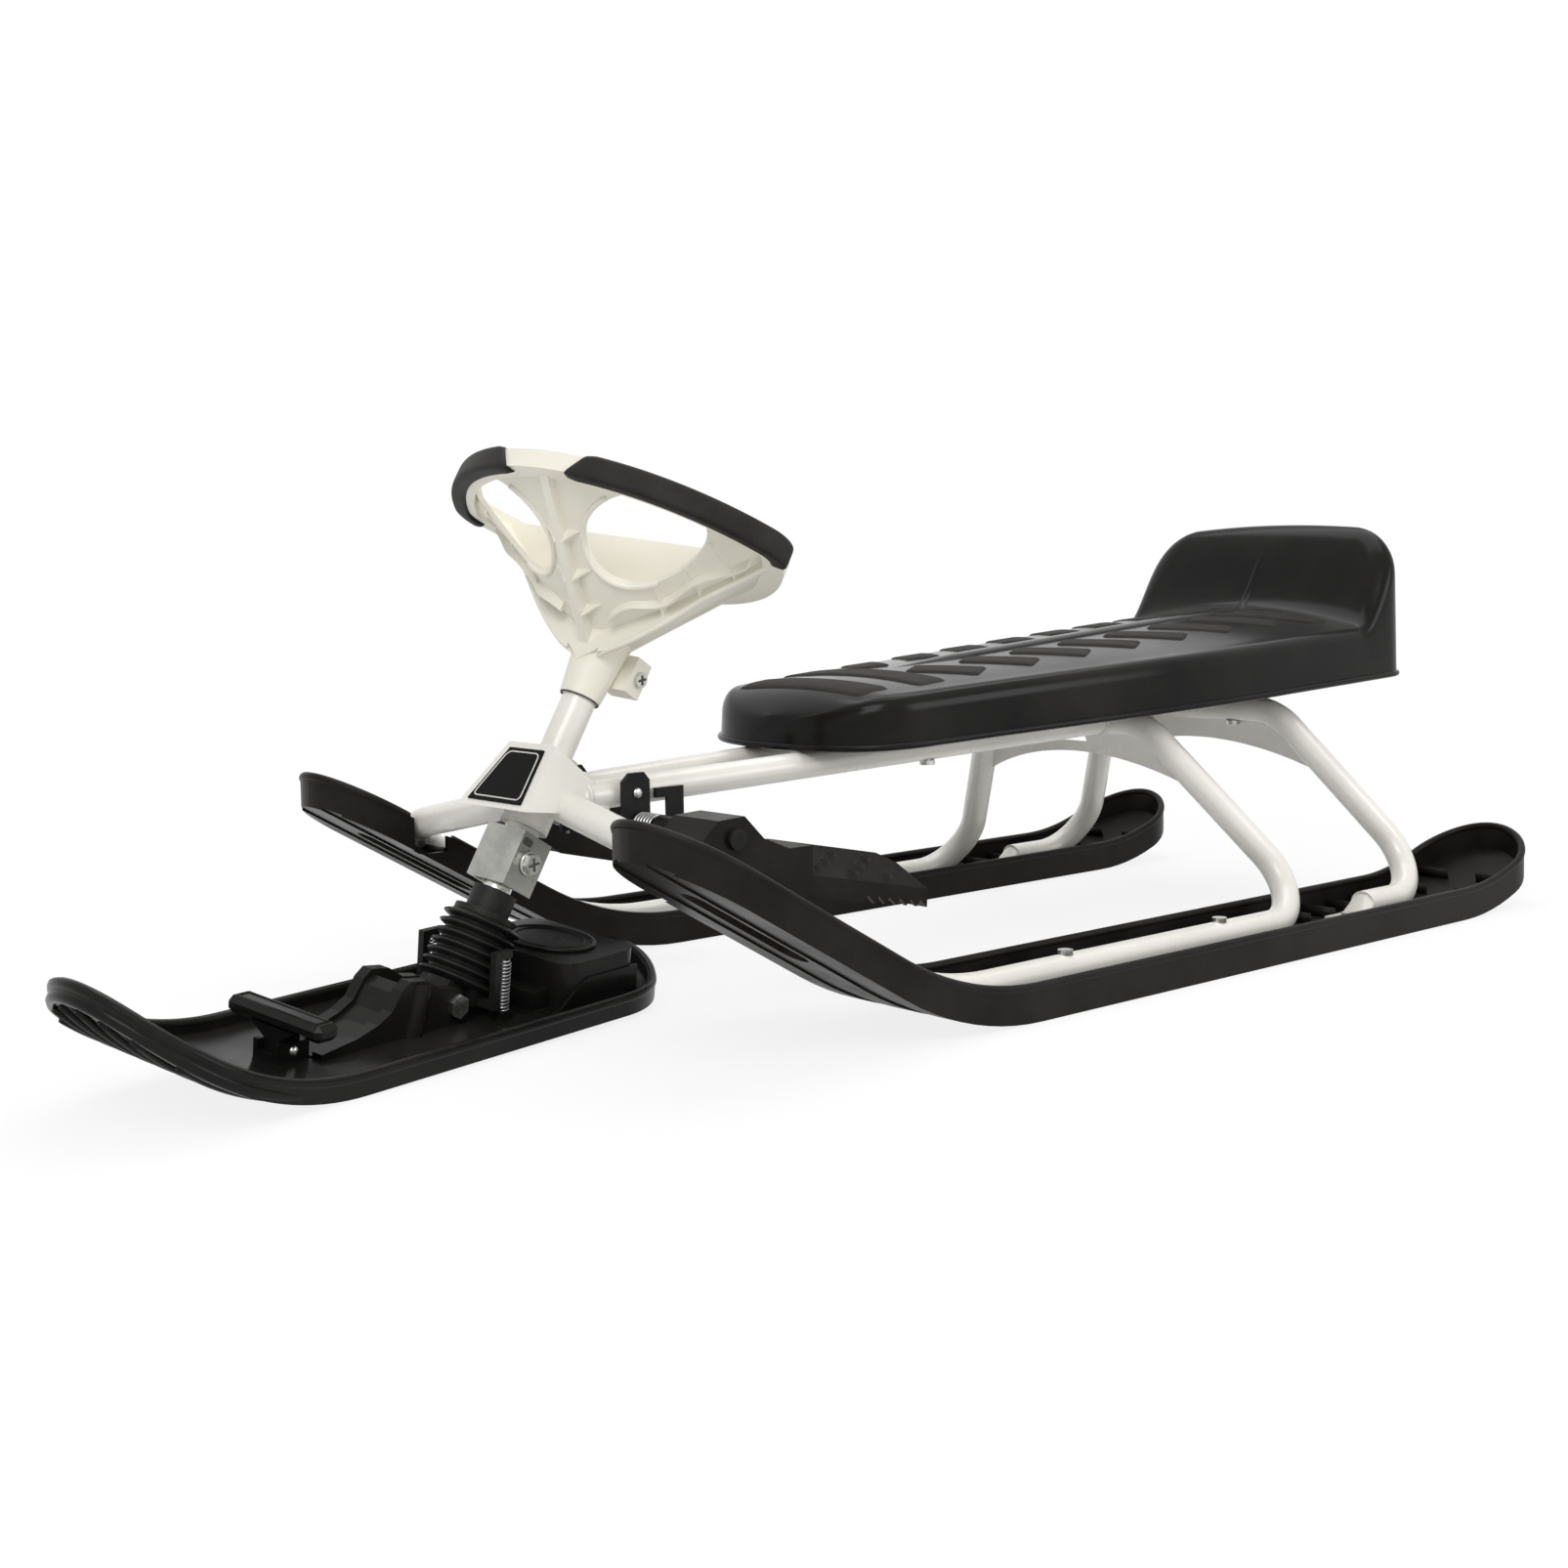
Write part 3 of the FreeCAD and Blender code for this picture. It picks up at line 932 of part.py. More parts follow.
parts["right_brake_pedal"] = mirrored(pedal)
parts["left_brake_bracket"] = bracket
parts["right_brake_bracket"] = mirrored(bracket)
parts["brake_pins"] = Part.makeCompound([brake_pin, mirrored(brake_pin)])
parts["bracket_rivets"] = Part.makeCompound([rivet, mirrored(rivet)])
parts["left_brake_spring"] = brake_coil
parts["right_brake_spring"] = mirrored(brake_coil)

# Seat: one moulded shell, open below, with a raised back and bosses for its bolts
seat_length = SEAT_REAR_Y - SEAT_FRONT_Y


def eased(share):
    share = min(1.0, max(0.0, share))
    return share * share * (3 - 2 * share)


def seat_half_width(y):
    grow = eased((y - SEAT_FRONT_Y) / (0.65 * seat_length))
    width = SEAT_FRONT_HALF_W + (SEAT_REAR_HALF_W - SEAT_FRONT_HALF_W) * grow
    nose = max(0.0, 1 - (y - SEAT_FRONT_Y) / 74.0)
    stern = max(0.0, 1 - (SEAT_REAR_Y - y) / 46.0)
    return width * (1 - nose ** 2.6) ** (1 / 2.6) * (1 - stern ** 3.2) ** (1 / 3.2)


def seat_back(y):
    return eased((y - SEAT_BACK_Y) / SEAT_BACK_L)


def seat_top(y):
    share = (y - SEAT_FRONT_Y) / seat_length
    nose = max(0.0, 1 - (y - SEAT_FRONT_Y) / 44.0)
    stern = max(0.0, 1 - (SEAT_REAR_Y - y) / 18.0)
    level = SEAT_TOP_FRONT_Z + (SEAT_TOP_REAR_Z - SEAT_TOP_FRONT_Z) * share
    return level + SEAT_BACK_RISE * seat_back(y) - 18.0 * nose ** 2 - 12.0 * stern ** 2


def seat_low(y):
    return SEAT_LOW_FRONT_Z + (SEAT_LOW_REAR_Z - SEAT_LOW_FRONT_Z) * (y - SEAT_FRONT_Y) / seat_length


def seat_section(y, inset, drop):
    """Closed cross section: flat sole, upright sides, round shoulders, crowned top."""
    half = seat_half_width(y) - inset
    low = seat_low(y) - drop
    top = seat_top(y) - inset
    shoulder = min(12.0 + 30.0 * seat_back(y), half * 0.45)
    fall = min(14.0 + 26.0 * seat_back(y), (top - low) * 0.6)
    side = Vector(half - 2, y, top - fall)
    knee = Vector(half - 2 - shoulder * 0.3, y, top - fall * 0.3)
    crest = Vector(half - 2 - shoulder, y, top)
    flip = [Vector(-p.x, p.y, p.z) for p in (side, knee, crest)]
    curves = [
        Part.LineSegment(Vector(-half, y, low), Vector(half, y, low)),
        Part.LineSegment(Vector(half, y, low), side),
        Part.Arc(side, knee, crest),
        Part.Arc(crest, Vector(0, y, top + 3.0), flip[2]),
        Part.Arc(flip[2], flip[1], flip[0]),
        Part.LineSegment(flip[0], Vector(-half, y, low)),
    ]
    return Part.Wire([curve.toShape() for curve in curves])


def seat_block(inset, drop):
    first = SEAT_FRONT_Y + 1.5 + inset
    last = SEAT_REAR_Y - 1.5 - inset
    stations = [first + (last - first) * (1 - math.cos(math.pi * k / 26)) / 2 for k in range(27)]
    return Part.makeLoft([seat_section(y, inset, drop) for y in stations], True, True)


seat_outer = seat_block(0, 0)
seat_shell = seat_outer.cut(seat_block(SEAT_WALL, 6.0))
bolt_spots = [(rail_at(SEAT_BOLT_Y), RAIL_D / 2), (Vector(RAIL_HOOP_X, REAR_HOOP_TOP_Y, HOOP_TOP_Z), tube_r)]
seat_bolts = []
bolt_head_h = 3.5
for spot, bar_r in bolt_spots:
    stub = Part.makeCylinder(SEAT_POST_D / 2, SEAT_POST_L, spot)
    post = Part.makeCylinder(SEAT_POST_D / 2, far, spot).common(seat_outer.fuse(stub))
    for bar_shape in (rail_bar, swept(bent_path(hoop_route, hoop_radii), tube_r)):
        post = post.cut(bar_shape)
    head_z = spot - Vector(0, 0, bar_r + bolt_head_h)
    hole = Part.makeCylinder(SEAT_BOLT_D / 2, bar_r + SEAT_BOLT_L, head_z)
    post = max(post.Solids, key=lambda solid: solid.Volume).cut(hole)
    seat_shell = seat_shell.fuse([post, mirrored(post)])
    rail = rail.cut(hole)
    rear_hoop = rear_hoop.cut(hole).cut(mirrored(hole))
    seat_bolt = hole.fuse(Part.makeCylinder(SEAT_BOLT_D, bolt_head_h, head_z)).removeSplitter()
    seat_bolt = seat_bolt.cut(rail_bar.cut(hole))
    head_room = Part.makeCylinder(SEAT_BOLT_D + 1, 2 * bar_r, head_z)
    parts["rear_gusset"] = parts["rear_gusset"].cut(head_room).cut(mirrored(head_room))
    seat_bolts += [seat_bolt, mirrored(seat_bolt)]
parts["seat_shell"] = seat_shell.removeSplitter()
parts["seat_bolts"] = Part.makeCompound(seat_bolts)
parts["left_rail"] = rail
parts["right_rail"] = mirrored(rail)
parts["rear_hoop_tube"] = rear_hoop

# Origin under the middle of the whole sled, then one file for each piece
boxes = [shape.optimalBoundingBox() for shape in parts.values()]
middle_x = (min(b.XMin for b in boxes) + max(b.XMax for b in boxes)) / 2
middle_y = (min(b.YMin for b in boxes) + max(b.YMax for b in boxes)) / 2
lowest = min(b.ZMin for b in boxes)
shift = Vector(-middle_x, -middle_y, -lowest)
print("origin moved by", [round(c, 4) for c in shift])
print("ski lowest", round(parts["front_ski"].optimalBoundingBox().ZMin, 3))
os.makedirs("parts", exist_ok=True)
for name, shape in parts.items():
    placed = shape.translated(shift)
    if not placed.isValid():
        print("not valid:", name)
    print(name, len(placed.Solids), "solids", round(placed.Volume / 1000, 1), "cm3")
    placed.exportStep("parts/" + name + ".step")
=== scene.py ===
import bpy
import math
from mathutils import Matrix, Vector
from mathutils.bvhtree import BVHTree


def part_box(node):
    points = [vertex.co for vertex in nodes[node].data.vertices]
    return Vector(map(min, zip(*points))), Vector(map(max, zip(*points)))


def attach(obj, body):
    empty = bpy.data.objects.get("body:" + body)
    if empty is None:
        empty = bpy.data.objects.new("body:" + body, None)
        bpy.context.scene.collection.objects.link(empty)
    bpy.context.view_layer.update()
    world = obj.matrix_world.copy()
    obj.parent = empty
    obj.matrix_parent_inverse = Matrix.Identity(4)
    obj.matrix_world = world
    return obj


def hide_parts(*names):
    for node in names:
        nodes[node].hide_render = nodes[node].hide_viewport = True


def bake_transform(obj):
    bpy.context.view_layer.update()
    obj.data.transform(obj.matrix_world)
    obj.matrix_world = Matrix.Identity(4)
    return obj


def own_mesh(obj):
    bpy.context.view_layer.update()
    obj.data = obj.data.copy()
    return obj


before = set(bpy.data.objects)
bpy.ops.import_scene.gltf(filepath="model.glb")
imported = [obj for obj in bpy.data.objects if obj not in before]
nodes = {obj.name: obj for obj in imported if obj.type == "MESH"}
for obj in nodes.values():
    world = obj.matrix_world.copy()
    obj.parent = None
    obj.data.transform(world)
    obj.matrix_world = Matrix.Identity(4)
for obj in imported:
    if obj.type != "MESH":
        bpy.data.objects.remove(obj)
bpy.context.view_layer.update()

# White frame: bent steel tube, rails, gussets and the head's saddle, welded together.
# It is powder coated in gloss white, with a slight orange peel, and greys a little where dirt settles.
# The mottle of patches and grain made here is shared by every finish, each with its own colours and scales.
mottle = bpy.data.node_groups.new("mottle", "ShaderNodeTree")
for way, kind, labels in (("INPUT", "NodeSocketColor", ("Light", "Dark")),
                          ("INPUT", "NodeSocketFloat", ("Patch", "Grain", "Relief", "Smooth", "Rough")),
                          ("OUTPUT", "NodeSocketColor", ("Color",)),
                          ("OUTPUT", "NodeSocketFloat", ("Roughness",)),
                          ("OUTPUT", "NodeSocketVector", ("Normal",))):
    for label in labels:
        mottle.interface.new_socket(label, in_out=way, socket_type=kind)
inlet = mottle.nodes.new("NodeGroupInput")
outlet = mottle.nodes.new("NodeGroupOutput")
place = mottle.nodes.new("ShaderNodeTexCoord")
patches = mottle.nodes.new("ShaderNodeTexNoise")
patches.inputs["Detail"].default_value = 5
patches.inputs["Roughness"].default_value = 0.62
grains = mottle.nodes.new("ShaderNodeTexNoise")
grains.inputs["Detail"].default_value = 2
spread = mottle.nodes.new("ShaderNodeMapRange")
spread.inputs["From Min"].default_value = 0.38
spread.inputs["From Max"].default_value = 0.68
shade = mottle.nodes.new("ShaderNodeMix")
shade.data_type = "RGBA"
gloss = mottle.nodes.new("ShaderNodeMapRange")
gloss.inputs["From Min"].default_value = 0.3
gloss.inputs["From Max"].default_value = 0.7
relief = mottle.nodes.new("ShaderNodeBump")
relief.inputs["Distance"].default_value = 0.001
wire = mottle.links.new
wire(place.outputs["Object"], patches.inputs["Vector"])
wire(place.outputs["Object"], grains.inputs["Vector"])
wire(inlet.outputs["Patch"], patches.inputs["Scale"])
wire(inlet.outputs["Grain"], grains.inputs["Scale"])
wire(patches.outputs["Fac"], spread.inputs["Value"])
wire(spread.outputs["Result"], shade.inputs["Factor"])
wire(inlet.outputs["Light"], shade.inputs["A"])
wire(inlet.outputs["Dark"], shade.inputs["B"])
wire(patches.outputs["Fac"], gloss.inputs["Value"])
wire(inlet.outputs["Smooth"], gloss.inputs["To Min"])
wire(inlet.outputs["Rough"], gloss.inputs["To Max"])
wire(grains.outputs["Fac"], relief.inputs["Height"])
wire(inlet.outputs["Relief"], relief.inputs["Strength"])
wire(shade.outputs["Result"], outlet.inputs["Color"])
wire(gloss.outputs["Result"], outlet.inputs["Roughness"])
wire(relief.outputs["Normal"], outlet.inputs["Normal"])


def finish_of(name, light, dark, patch, grain, bump, smooth, rough, metal=0.0, coat=0.0, shine=0.5):
    """Material with mottled colour and gloss and a fine relief."""
    material = bpy.data.materials.new(name)
    material.use_nodes = True
    tree = material.node_tree
    shader = tree.nodes["Principled BSDF"]
    shader.inputs["Metallic"].default_value = metal
    shader.inputs["Coat Weight"].default_value = coat
    shader.inputs["Specular IOR Level"].default_value = shine
    shader.inputs["Coat Roughness"].default_value = 0.12
    group = tree.nodes.new("ShaderNodeGroup")
    group.node_tree = mottle
    for label, value in (("Light", (*light, 1)), ("Dark", (*dark, 1)), ("Patch", patch), ("Grain", grain),
                         ("Relief", bump), ("Smooth", smooth), ("Rough", rough)):
        group.inputs[label].default_value = value
    tree.links.new(group.outputs["Color"], shader.inputs["Base Color"])
    tree.links.new(group.outputs["Roughness"], shader.inputs["Roughness"])
    tree.links.new(group.outputs["Normal"], shader.inputs["Normal"])
    return material


def dress(material, *names):
    """Gives CAD nodes their finish."""
    for name in names:
        nodes[name].data.materials.clear()
        nodes[name].data.materials.append(material)


white_coat = finish_of("white_powder_coat", (0.83, 0.81, 0.75), (0.74, 0.72, 0.66),
                       patch=9, grain=420, bump=0.05, smooth=0.2, rough=0.34, coat=0.25)
dress(white_coat, "main_frame_tube", "rear_hoop_tube", "left_rail", "right_rail", "front_gusset",
      "rear_gusset", "head_tube", "head_cover", "steering_column")

# Welds: rippled steel beads where the rails meet the head and the front hoop, painted with the frame.
# Each bead is a row of overlapping round ripples, laid by the nodes that also set out the sled's ribs,
# rivets and small screws.
set_out = bpy.data.node_groups.new("set_out", "GeometryNodeTree")
for label, kind in (("Places", "NodeSocketGeometry"), ("Pattern", "NodeSocketObject"),
                    ("Finish", "NodeSocketMaterial")):
    set_out.interface.new_socket(label, in_out="INPUT", socket_type=kind)
set_out.interface.new_socket("Geometry", in_out="OUTPUT", socket_type="NodeSocketGeometry")
start = set_out.nodes.new("NodeGroupInput")
end = set_out.nodes.new("NodeGroupOutput")
pattern = set_out.nodes.new("GeometryNodeObjectInfo")
turns = set_out.nodes.new("GeometryNodeInputNamedAttribute")
turns.data_type = "FLOAT_VECTOR"
turns.inputs["Name"].default_value = "turn"
sizes = set_out.nodes.new("GeometryNodeInputNamedAttribute")
sizes.data_type = "FLOAT_VECTOR"
sizes.inputs["Name"].default_value = "size"
to_turn = set_out.nodes.new("FunctionNodeEulerToRotation")
instances = set_out.nodes.new("GeometryNodeInstanceOnPoints")
realize = set_out.nodes.new("GeometryNodeRealizeInstances")
coating = set_out.nodes.new("GeometryNodeSetMaterial")
wire = set_out.links.new
wire(start.outputs["Places"], instances.inputs["Points"])
wire(start.outputs["Pattern"], pattern.inputs["Object"])
wire(pattern.outputs["Geometry"], instances.inputs["Instance"])
wire(turns.outputs["Attribute"], to_turn.inputs["Euler"])
wire(to_turn.outputs["Rotation"], instances.inputs["Rotation"])
wire(sizes.outputs["Attribute"], instances.inputs["Scale"])
wire(instances.outputs["Instances"], realize.inputs["Geometry"])
wire(realize.outputs["Geometry"], coating.inputs["Geometry"])
wire(start.outputs["Finish"], coating.inputs["Material"])
wire(coating.outputs["Geometry"], end.inputs["Geometry"])


def repeated(name, shape, places, material, body):
    """One piece of many copies of a shape (verts, faces), each with a place, a turn and a size."""
    mesh = bpy.data.meshes.new(name + "_pattern")
    mesh.from_pydata([tuple(v) for v in shape[0]], [], shape[1])
    mesh.polygons.foreach_set("use_smooth", [True] * len(mesh.polygons))
    pattern_object = bpy.data.objects.new(name + "_pattern", mesh)
    points = bpy.data.meshes.new(name + "_places")
    points.from_pydata([tuple(p[0]) for p in places], [], [])
    for label, column in (("turn", 1), ("size", 2)):
        layer = points.attributes.new(label, "FLOAT_VECTOR", "POINT")
        layer.data.foreach_set("vector", [c for p in places for c in p[column]])
    carrier = bpy.data.objects.new(name + "_carrier", points)
    bpy.context.scene.collection.objects.link(carrier)
    layout = carrier.modifiers.new("set_out", "NODES")
    layout.node_group = set_out
    keys = {item.name: item.identifier for item in set_out.interface.items_tree if item.in_out == "INPUT"}
    layout[keys["Pattern"]] = pattern_object
    layout[keys["Finish"]] = material
    bpy.context.view_layer.update()
    graph = bpy.context.evaluated_depsgraph_get()
    result = bpy.data.meshes.new_from_object(carrier.evaluated_get(graph), depsgraph=graph)
    result.name = name
    made = bpy.data.objects.new(name, result)
    bpy.context.scene.collection.objects.link(made)
    bpy.data.objects.remove(carrier)
    bpy.data.objects.remove(pattern_object)
    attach(made, body)
    return made


def round_at(turns_made, radius):
    """The two coordinates of a point on a circle after some turns."""
    angle = 2 * math.pi * turns_made
    return radius * math.cos(angle), radius * math.sin(angle)


def ball(rings, sides):
    """Unit ball."""
    verts = [Vector((0, 0, 1))]
    for r in range(1, rings):
        polar = math.pi * r / rings
        verts += [Vector((*round_at(s / sides, math.sin(polar)), math.cos(polar))) for s in range(sides)]
    verts.append(Vector((0, 0, -1)))
    faces = [(0, 1 + s, 1 + (s + 1) % sides) for s in range(sides)]
    for r in range(rings - 2):
        a = 1 + r * sides
        b = a + sides
        faces += [(a + s, b + s, b + (s + 1) % sides, a + (s + 1) % sides) for s in range(sides)]
    last = len(verts) - 1
    faces += [(last, last - sides + (s + 1) % sides, last - sides + s) for s in range(sides)]
    return verts, faces


mm = 0.001
ripple_r = 1.7 * mm
ripple_count = 44
ripple_wobble = 0.12
ripple_waves = 5
weld_r = 10.2 * mm
rail_head = Vector((20, -259.7, 150)) * mm
rail_hoop = Vector((48, 270.3, 170)) * mm
head_to_weld = 20 * mm
hoop_to_weld = 11.2 * mm
rail_way = (rail_hoop - rail_head).normalized()
across = rail_way.cross(Vector((0, 0, 1))).normalized()
upward = across.cross(rail_way)
ripples = []
for side in (1, -1):
    for centre in (rail_hoop - rail_way * hoop_to_weld, rail_head + rail_way * head_to_weld):
        for k in range(ripple_count):
            turn = 2 * math.pi * k / ripple_count
            wide, tall = round_at(k / ripple_count, weld_r)
            spot = centre + across * wide + upward * tall
            lump = ripple_r * (1 + ripple_wobble * math.sin(ripple_waves * turn))
            ripples.append(((spot.x * side, spot.y, spot.z), (0, 0, turn), (lump, lump, lump)))
repeated("weld_beads", ball(rings=6, sides=8), ripples, white_coat, "chassis")

# Rear runners: long troughs moulded in black polyethylene, with a rolled rim and cross ribs on the floor.
# They are satin with a fine moulded grain. The rim stops at a notch on the inner side, where the frame's
# tube enters, and each runner is screwed to that tube.
runner_black = finish_of("runner_polyethylene", (0.009, 0.008, 0.007), (0.018, 0.016, 0.014),
                         patch=14, grain=900, bump=0.09, smooth=0.26, rough=0.46, shine=0.08)
dress(runner_black, "left_runner", "right_runner")
runner_x = 195
rim_half = 47.8
rim_r = 3.2 * mm
rim_sink = 0.6 * mm
rim_low = 24
rim_end_steps = 30
rim_outer_steps = 100
rim_inner_steps = 96
nose_bend = 250
nose_from = -31.7
nose_lean = math.radians(30)
nose_mid = -281.7
notch_front = -277.63
notch_rear = -241.7
tail_bend = 230
tail_from = 488.3
tail_mid = 566.3
rib_first = -284
rib_step = 34
rib_count = 26
rib_mid = 29.5
rib_size = (31 * mm, 3.2 * mm, 9 * mm)
rib_sink = 0.5 * mm
tilt_step = 4 * mm


def piece(name, verts, faces, material, body, slot, smooth=True):
    """New visual piece in metres in the sled's frame, riding on a body unless that is None."""
    mesh = bpy.data.meshes.new(name)
    mesh.from_pydata([tuple(v) for v in verts], [], faces)
    mesh.validate()
    mesh.polygons.foreach_set("use_smooth", [smooth] * len(mesh.polygons))
    mesh.materials.append(material)
    mesh.update()
    made = bpy.data.objects.new(name, mesh)
    bpy.context.scene.collection.objects.link(made)
    if body is not None:
        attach(made, body)
    return made


def swept(points, radius, sides=10, closed=False, flat=1.0, up=None, power=1.0):
    """Bar along points, round, oval or (with a low power) squarish, its short way towards up."""
    count = len(points)
    steep = 0.9
    verts = []
    normal = None
    for k, spot in enumerate(points):
        ahead = points[(k + 1) % count] if closed or k < count - 1 else spot
        behind = points[k - 1] if closed or k > 0 else spot
        heading = (ahead - behind).normalized()
        if normal is None:
            normal = heading.orthogonal().normalized()
            if abs(heading.z) < steep:
                normal = (Vector((0, 0, 1)) - heading * heading.z).normalized()
        if up is not None:
            normal = up
        normal = (normal - heading * normal.dot(heading)).normalized()
        beside = heading.cross(normal)
        size = radius[k] if isinstance(radius, list) else radius
        for j in range(sides):
            high, wide = round_at(j / sides, 1)
            high = math.copysign(abs(high) ** power, high)
            wide = math.copysign(abs(wide) ** power, wide)
            verts.append(spot + normal * (size * flat * high) + beside * (size * wide))
    faces = []
    for k in range(count if closed else count - 1):
        a = k * sides
        b = (k + 1) % count * sides
        faces += [(a + j, a + (j + 1) % sides, b + (j + 1) % sides, b + j) for j in range(sides)]
    if not closed:
        faces.append(tuple(range(sides))[::-1])
        faces.append(tuple((count - 1) * sides + j for j in range(sides)))
    return verts, faces


def tree_of(name):
    """Surface of a CAD node, to be met by rays."""
    mesh = nodes[name].data
    corners = [v.co.copy() for v in mesh.vertices]
    return BVHTree.FromPolygons(corners, [tuple(p.vertices) for p in mesh.polygons])


def drop_on(tree, x, y):
    """Point of a surface under (x, y), met from above the sled, or None."""
    above = 0.6
    return tree.ray_cast(Vector((x, y, above)), Vector((0, 0, -1)))[0]


def runner_rim_z(y):
    """Height of the runner's rim at a station along it, in millimetres."""
    slope_y = nose_from - nose_bend * math.sin(nose_lean)
    if y < slope_y:
        return rim_low + nose_bend * (1 - math.cos(nose_lean)) + (slope_y - y) * math.tan(nose_lean)
    if y < nose_from:
        return rim_low + nose_bend - math.sqrt(nose_bend ** 2 - (nose_from - y) ** 2)
    if y > tail_from:
        return rim_low + tail_bend - math.sqrt(tail_bend ** 2 - (y - tail_from) ** 2)
    return rim_low


def runner_end(middle_y, first_turns):
    """Half circle of the rim round an end of the runner, as (x, y) millimetres."""
    spots = [round_at(first_turns + k / rim_end_steps / 2, rim_half) for k in range(1, rim_end_steps + 1)]
    return [(x, middle_y + y) for x, y in spots]


rim_path = [(-rim_half, notch_front), (-rim_half, nose_mid)]
rim_path += runner_end(nose_mid, 0.5)
rim_path += [(rim_half, nose_mid + (tail_mid - nose_mid) * k / rim_outer_steps)
             for k in range(1, rim_outer_steps + 1)]
rim_path += runner_end(tail_mid, 0)
rim_path += [(-rim_half, tail_mid + (notch_rear - tail_mid) * k / rim_inner_steps)
             for k in range(1, rim_inner_steps + 1)]
rim_points = [Vector((runner_x + x, y, runner_rim_z(y))) * mm for x, y in rim_path]
for side, word in ((1, "left"), (-1, "right")):
    line = [Vector((p.x * side, p.y, p.z - rim_sink)) for p in rim_points]
    piece(word + "_runner_rim", *swept(line, rim_r, sides=10), runner_black, "chassis", "black_matte")
runner_tree = tree_of("left_runner")
rib_section = ((-0.5, 0), (0.5, 0), (0.3, 1), (-0.3, 1))
rib_shape = ([Vector((x, y, z)) for x in (-0.5, 0.5) for y, z in rib_section],
             [(0, 1, 2, 3), (7, 6, 5, 4), (0, 4, 5, 1), (1, 5, 6, 2), (2, 6, 7, 3), (3, 7, 4, 0)])
ribs = []
for k in range(rib_count):
    y = (rib_first + rib_step * k) * mm
    for x in ((runner_x - rib_mid) * mm, (runner_x + rib_mid) * mm):
        spot = drop_on(runner_tree, x, y)
        ahead = drop_on(runner_tree, x, y + tilt_step)
        if spot is None or ahead is None:
            continue
        tilt = math.atan2(ahead.z - spot.z, tilt_step)
        ribs += [((spot.x * side, spot.y, spot.z - rib_sink), (tilt, 0, 0), rib_size) for side in (1, -1)]
repeated("runner_ribs", rib_shape, ribs, runner_black, "chassis")

# Screws and bolts: turned steel with a bright zinc plating. They hold the tubes in the runners, the seat on
# the rails and the wheel on its column; the strut's rod and the ski's pivot are plated in the same way.
zinc = finish_of("zinc_plate", (0.66, 0.66, 0.62), (0.5, 0.51, 0.5),
                 patch=90, grain=700, bump=0.12, smooth=0.22, rough=0.42, metal=1.0)
dress(zinc, "runner_screws", "seat_bolts", "wheel_screw", "clamp_bolt", "strut_rod", "pivot_bolt")

# Seat: one blow-moulded black shell with a high gloss, bolted on the rails, with a low back behind the rider.
# Its wall is even, its top is crowned a little more towards the back, and a lip runs round its lower edge.
seat_black = finish_of("seat_gloss", (0.006, 0.0058, 0.0055), (0.013, 0.012, 0.011),
                       patch=7, grain=300, bump=0.03, smooth=0.12, rough=0.26, shine=0.11)
seat_front = -57.73
seat_length = 644.0
seat_rear = seat_front + seat_length
seat_wall = 4
seat_end_gap = 0.6
seat_stations = 130
front_half = 100
half_growth = 36
full_width_at = 0.65 * seat_length
nose_round = 74
nose_power = 2.6
stern_round = 46
stern_power = 3.2
edge_height = 168.6
edge_growth = 27.4
top_height = 207.5
top_growth = 36.5
nose_drop = 18
nose_drop_run = 44
stern_drop = 12
stern_drop_run = 18
back_from = 508.27
back_run = 62
back_height = 84
wall_lean = 2
shoulder_wide = 12
shoulder_wide_back = 30
shoulder_fall = 14
shoulder_fall_back = 26
shoulder_share = 0.45
fall_share = 0.6
least_half = 0.3
edge_crown = 3
front_crown = 3
rear_crown = 8
rear_crown_at = 420
crown_run = 70
wall_steps = 4
shoulder_steps = 10
crown_steps = 12
sharp_from = math.radians(50)


def held(share):
    """Share kept between 0 and 1."""
    return min(1.0, max(0.0, share))


def eased(share):
    """Share that starts and ends gently."""
    share = held(share)
    return share * share * (3 - 2 * share)


def seat_half(y):
    """Half width of the seat at a station, in millimetres."""
    wide = front_half + half_growth * eased((y - seat_front) / full_width_at)
    nose = held(1 - (y - seat_front) / nose_round)
    stern = held(1 - (seat_rear - y) / stern_round)
    wide *= (1 - nose ** nose_power) ** (1 / nose_power)
    return wide * (1 - stern ** stern_power) ** (1 / stern_power)


def seat_low(y):
    """Height of the seat's lower edge at a station, in millimetres."""
    return edge_height + edge_growth * (y - seat_front) / seat_length


